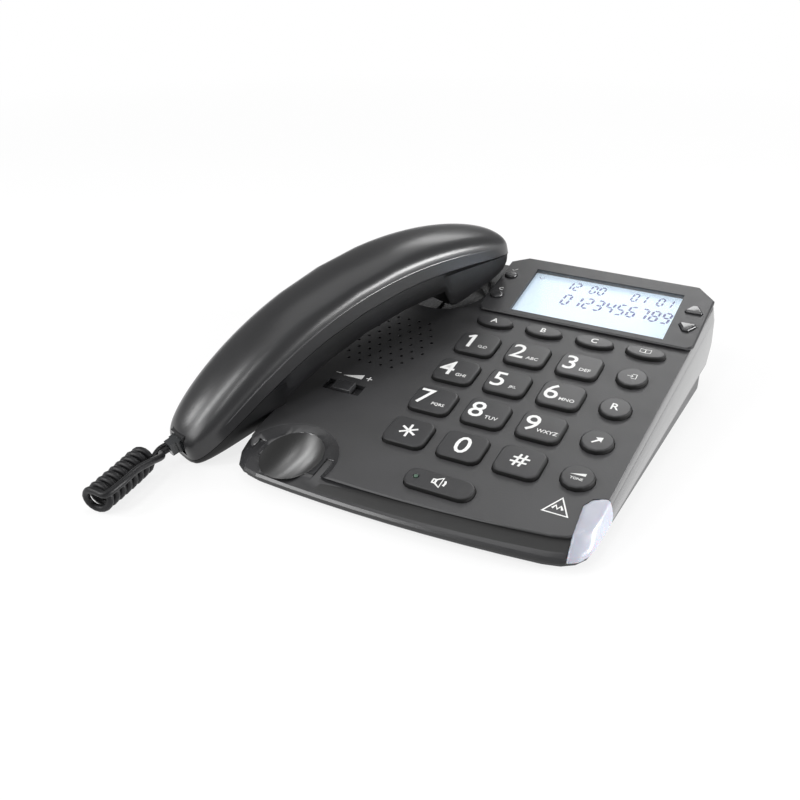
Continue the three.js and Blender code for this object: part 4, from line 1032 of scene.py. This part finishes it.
# Each crease is a thin bead tinted lighter than the shell: a painted highlight along the ridge.
crease_painted_highlight = Finish("handset_crease_gloss", Coat_Weight=0.6, Coat_Roughness=0.08)
crease_painted_highlight.tint((0.05, 0.05, 0.052), (0.07, 0.07, 0.073), crease_painted_highlight.noise(60, 2))
crease_painted_highlight.feed("Roughness", 0.20 + 0.06 * crease_painted_highlight.noise(300, 2))
for side_name, hand in (("right", -1), ("left", 1)):
    ridge = bpy.data.curves.new("handset_crease_" + side_name, "CURVE")
    ridge.dimensions = "3D"
    ridge.bevel_depth = crease_radius
    ridge.bevel_resolution = 2
    ridge.use_fill_caps = True
    line = ridge.splines.new("POLY")
    line.points.add(crease_steps)
    for i, spot in enumerate(line.points):
        reach = (i / crease_steps * 2 - 1) * crease_share
        fullness = (1 - abs(reach) ** end_power) ** (1 / end_power)
        place = handset_place @ Vector((
            reach * handset_half, hand * (shell_half * fullness - crease_inset), crease_height(reach)))
        spot.co = (*place, 1)
        spot.radius = max(1 - abs(reach / crease_share) ** 6, crease_tip_share)
    ridge.materials.append(crease_painted_highlight.material)
    shown(bpy.data.objects.new(ridge.name, ridge), "handset_body")

# Pieces behind the walls
# The board, the key mat, the loudspeaker, the capsules and the weight are
# hidden in the closed mouldings, and show only through openings.
laminate = Finish("board_laminate", Coat_Weight=0.2)
laminate.tint((0.01, 0.10, 0.04), (0.02, 0.16, 0.06), laminate.noise(120, 3))
laminate.feed("Roughness", 0.35 + 0.1 * laminate.noise(600, 2))
painted(laminate, "main_board")
silicone = moulded(
    "mat_grey_silicone", (0.20, 0.20, 0.21), (0.27, 0.27, 0.28),
    roughness=0.65, grain=1200, depth=0.00003)
painted(silicone, "key_mat")
cone = moulded(
    "speaker_black_steel", (0.05, 0.05, 0.052), (0.08, 0.08, 0.083),
    roughness=0.42, grain=900, depth=0.00004)
painted(cone, "base_speaker", "ear_capsule", "microphone_capsule")
ballast = Finish("weight_steel", Metallic=0.9)
ballast.tint((0.30, 0.30, 0.31), (0.42, 0.42, 0.43), ballast.noise(300, 4))
ballast.feed("Roughness", 0.35 + 0.2 * ballast.noise(900, 3))
painted(ballast, "handset_weight")

# Feet and case screws
# Four black rubber feet glued in round recesses of the tray, and four zinc
# plated screws that draw the two cases together from below.
rubber = moulded(
    "foot_black_rubber", (0.012, 0.012, 0.012), (0.022, 0.022, 0.022),
    roughness=0.75, grain=1300, depth=0.00005)
for name in ("foot_front_left", "foot_front_right", "foot_rear_left", "foot_rear_right"):
    foot = fair_copy(name, rubber, "base", smooth=30, rim=small_rim)
zinc = Finish("screw_zinc", Metallic=1.0)
zinc.tint((0.42, 0.42, 0.44), (0.58, 0.58, 0.60), zinc.noise(700, 3))
zinc.feed("Roughness", 0.28 + 0.15 * zinc.noise(1200, 2))
painted(zinc, "case_screw_1", "case_screw_2", "case_screw_3", "case_screw_4")

# Studio
# A white sweep lit by seven soft boxes: one overhead, one low at the right for
# the right flank, one behind for the deck's sheen, and four at the front and
# the left for the lip, the handset's end, the bowl and the base's corner.
sweep_half = 12
near, far = 0.25, 1.0
near_glow = 0.80
sweep_form = bmesh.new()
bmesh.ops.create_grid(sweep_form, x_segments=1, y_segments=1, size=sweep_half)
sweep_mesh = bpy.data.meshes.new("floor_sweep")
sweep_form.to_mesh(sweep_mesh)
sweep_form.free()
floor = bpy.data.objects.new("floor_sweep", sweep_mesh)
scene.collection.objects.link(floor)
paper = Finish("floor_white", Roughness=0.9, Specular_IOR_Level=0.1)
paper.tint((0.88, 0.88, 0.88), (0.90, 0.90, 0.90), paper.noise(3, 2))
rays = paper.tree.nodes.new("ShaderNodeLightPath")
camera_ray, glossy_ray, clear_ray = [
    Term(paper, rays.outputs[kind]) for kind in ("Is Camera Ray", "Is Glossy Ray", "Is Transmission Ray")
]
seen = paper.node("ShaderNodeMath", {"operation": "MINIMUM"}, [camera_ray + glossy_ray + clear_ray, 1.0])
far_off = vectors(paper, "LENGTH", paper.place(), output="Value")
fade = paper.node("ShaderNodeMapRange", None, {0: far_off, 1: near, 2: far, 3: near_glow, 4: 1.0})
glow = paper.node("ShaderNodeEmission", None, {"Color": (1, 1, 1, 1), "Strength": 1.0})
mixed = paper.node("ShaderNodeMixShader", None, [seen * fade, Term(paper, paper.shader.outputs[0]), glow])
paper.tree.links.new(mixed.socket, paper.tree.nodes["Material Output"].inputs["Surface"])
sweep_mesh.materials.append(paper.material)
floor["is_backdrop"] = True

world = bpy.data.worlds.new("studio_white")
scene.world = world
world.use_nodes = True
air = world.node_tree
sky = air.nodes["Background"]
sky.inputs["Color"].default_value = (1, 1, 1, 1)
sky.inputs["Strength"].default_value = 0.28
bright = air.nodes.new("ShaderNodeBackground")
bright.inputs["Color"].default_value = (1, 1, 1, 1)
bright.inputs["Strength"].default_value = 1.0
path = air.nodes.new("ShaderNodeLightPath")
blend = air.nodes.new("ShaderNodeMixShader")
air.links.new(path.outputs["Is Camera Ray"], blend.inputs[0])
air.links.new(sky.outputs[0], blend.inputs[1])
air.links.new(bright.outputs[0], blend.inputs[2])
air.links.new(blend.outputs[0], air.nodes["World Output"].inputs["Surface"])


def soft_box(name, place, target, width, depth, power):
    """A rectangular soft light that faces a point."""
    lamp = bpy.data.lights.new(name, "AREA")
    lamp.shape = "RECTANGLE"
    lamp.size = width
    lamp.size_y = depth
    lamp.energy = power
    holder = bpy.data.objects.new(name, lamp)
    holder.location = place
    holder.rotation_euler = (Vector(target) - Vector(place)).to_track_quat("-Z", "Y").to_euler()
    scene.collection.objects.link(holder)


soft_box("overhead_box", (-0.15, 0.15, 1.1), (-0.02, 0, 0), width=1.0, depth=0.9, power=3.2)
soft_box("right_box", (0.95, 0.25, 0.22), (0.08, 0, 0.02), width=0.5, depth=0.3, power=13)
soft_box("front_box", (-0.10, -0.85, 1.0), (0, -0.05, 0.02), width=0.14, depth=0.5, power=2.4)
soft_box("rear_box", (-0.12, 0.95, 0.85), (0.05, 0.05, 0.03), width=0.5, depth=0.35, power=3)
soft_box("left_box", (-0.94, -0.43, 0.48), (-0.12, -0.07, 0.03), width=0.14, depth=0.26, power=2)
soft_box("bowl_box", (-0.57, -0.57, 0.68), (-0.07, -0.07, 0.01), width=0.09, depth=0.5, power=3.4)
soft_box("corner_box", (-0.52, -0.76, 0.37), (-0.05, -0.08, 0.01), width=0.5, depth=0.3, power=2.4)

low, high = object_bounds()
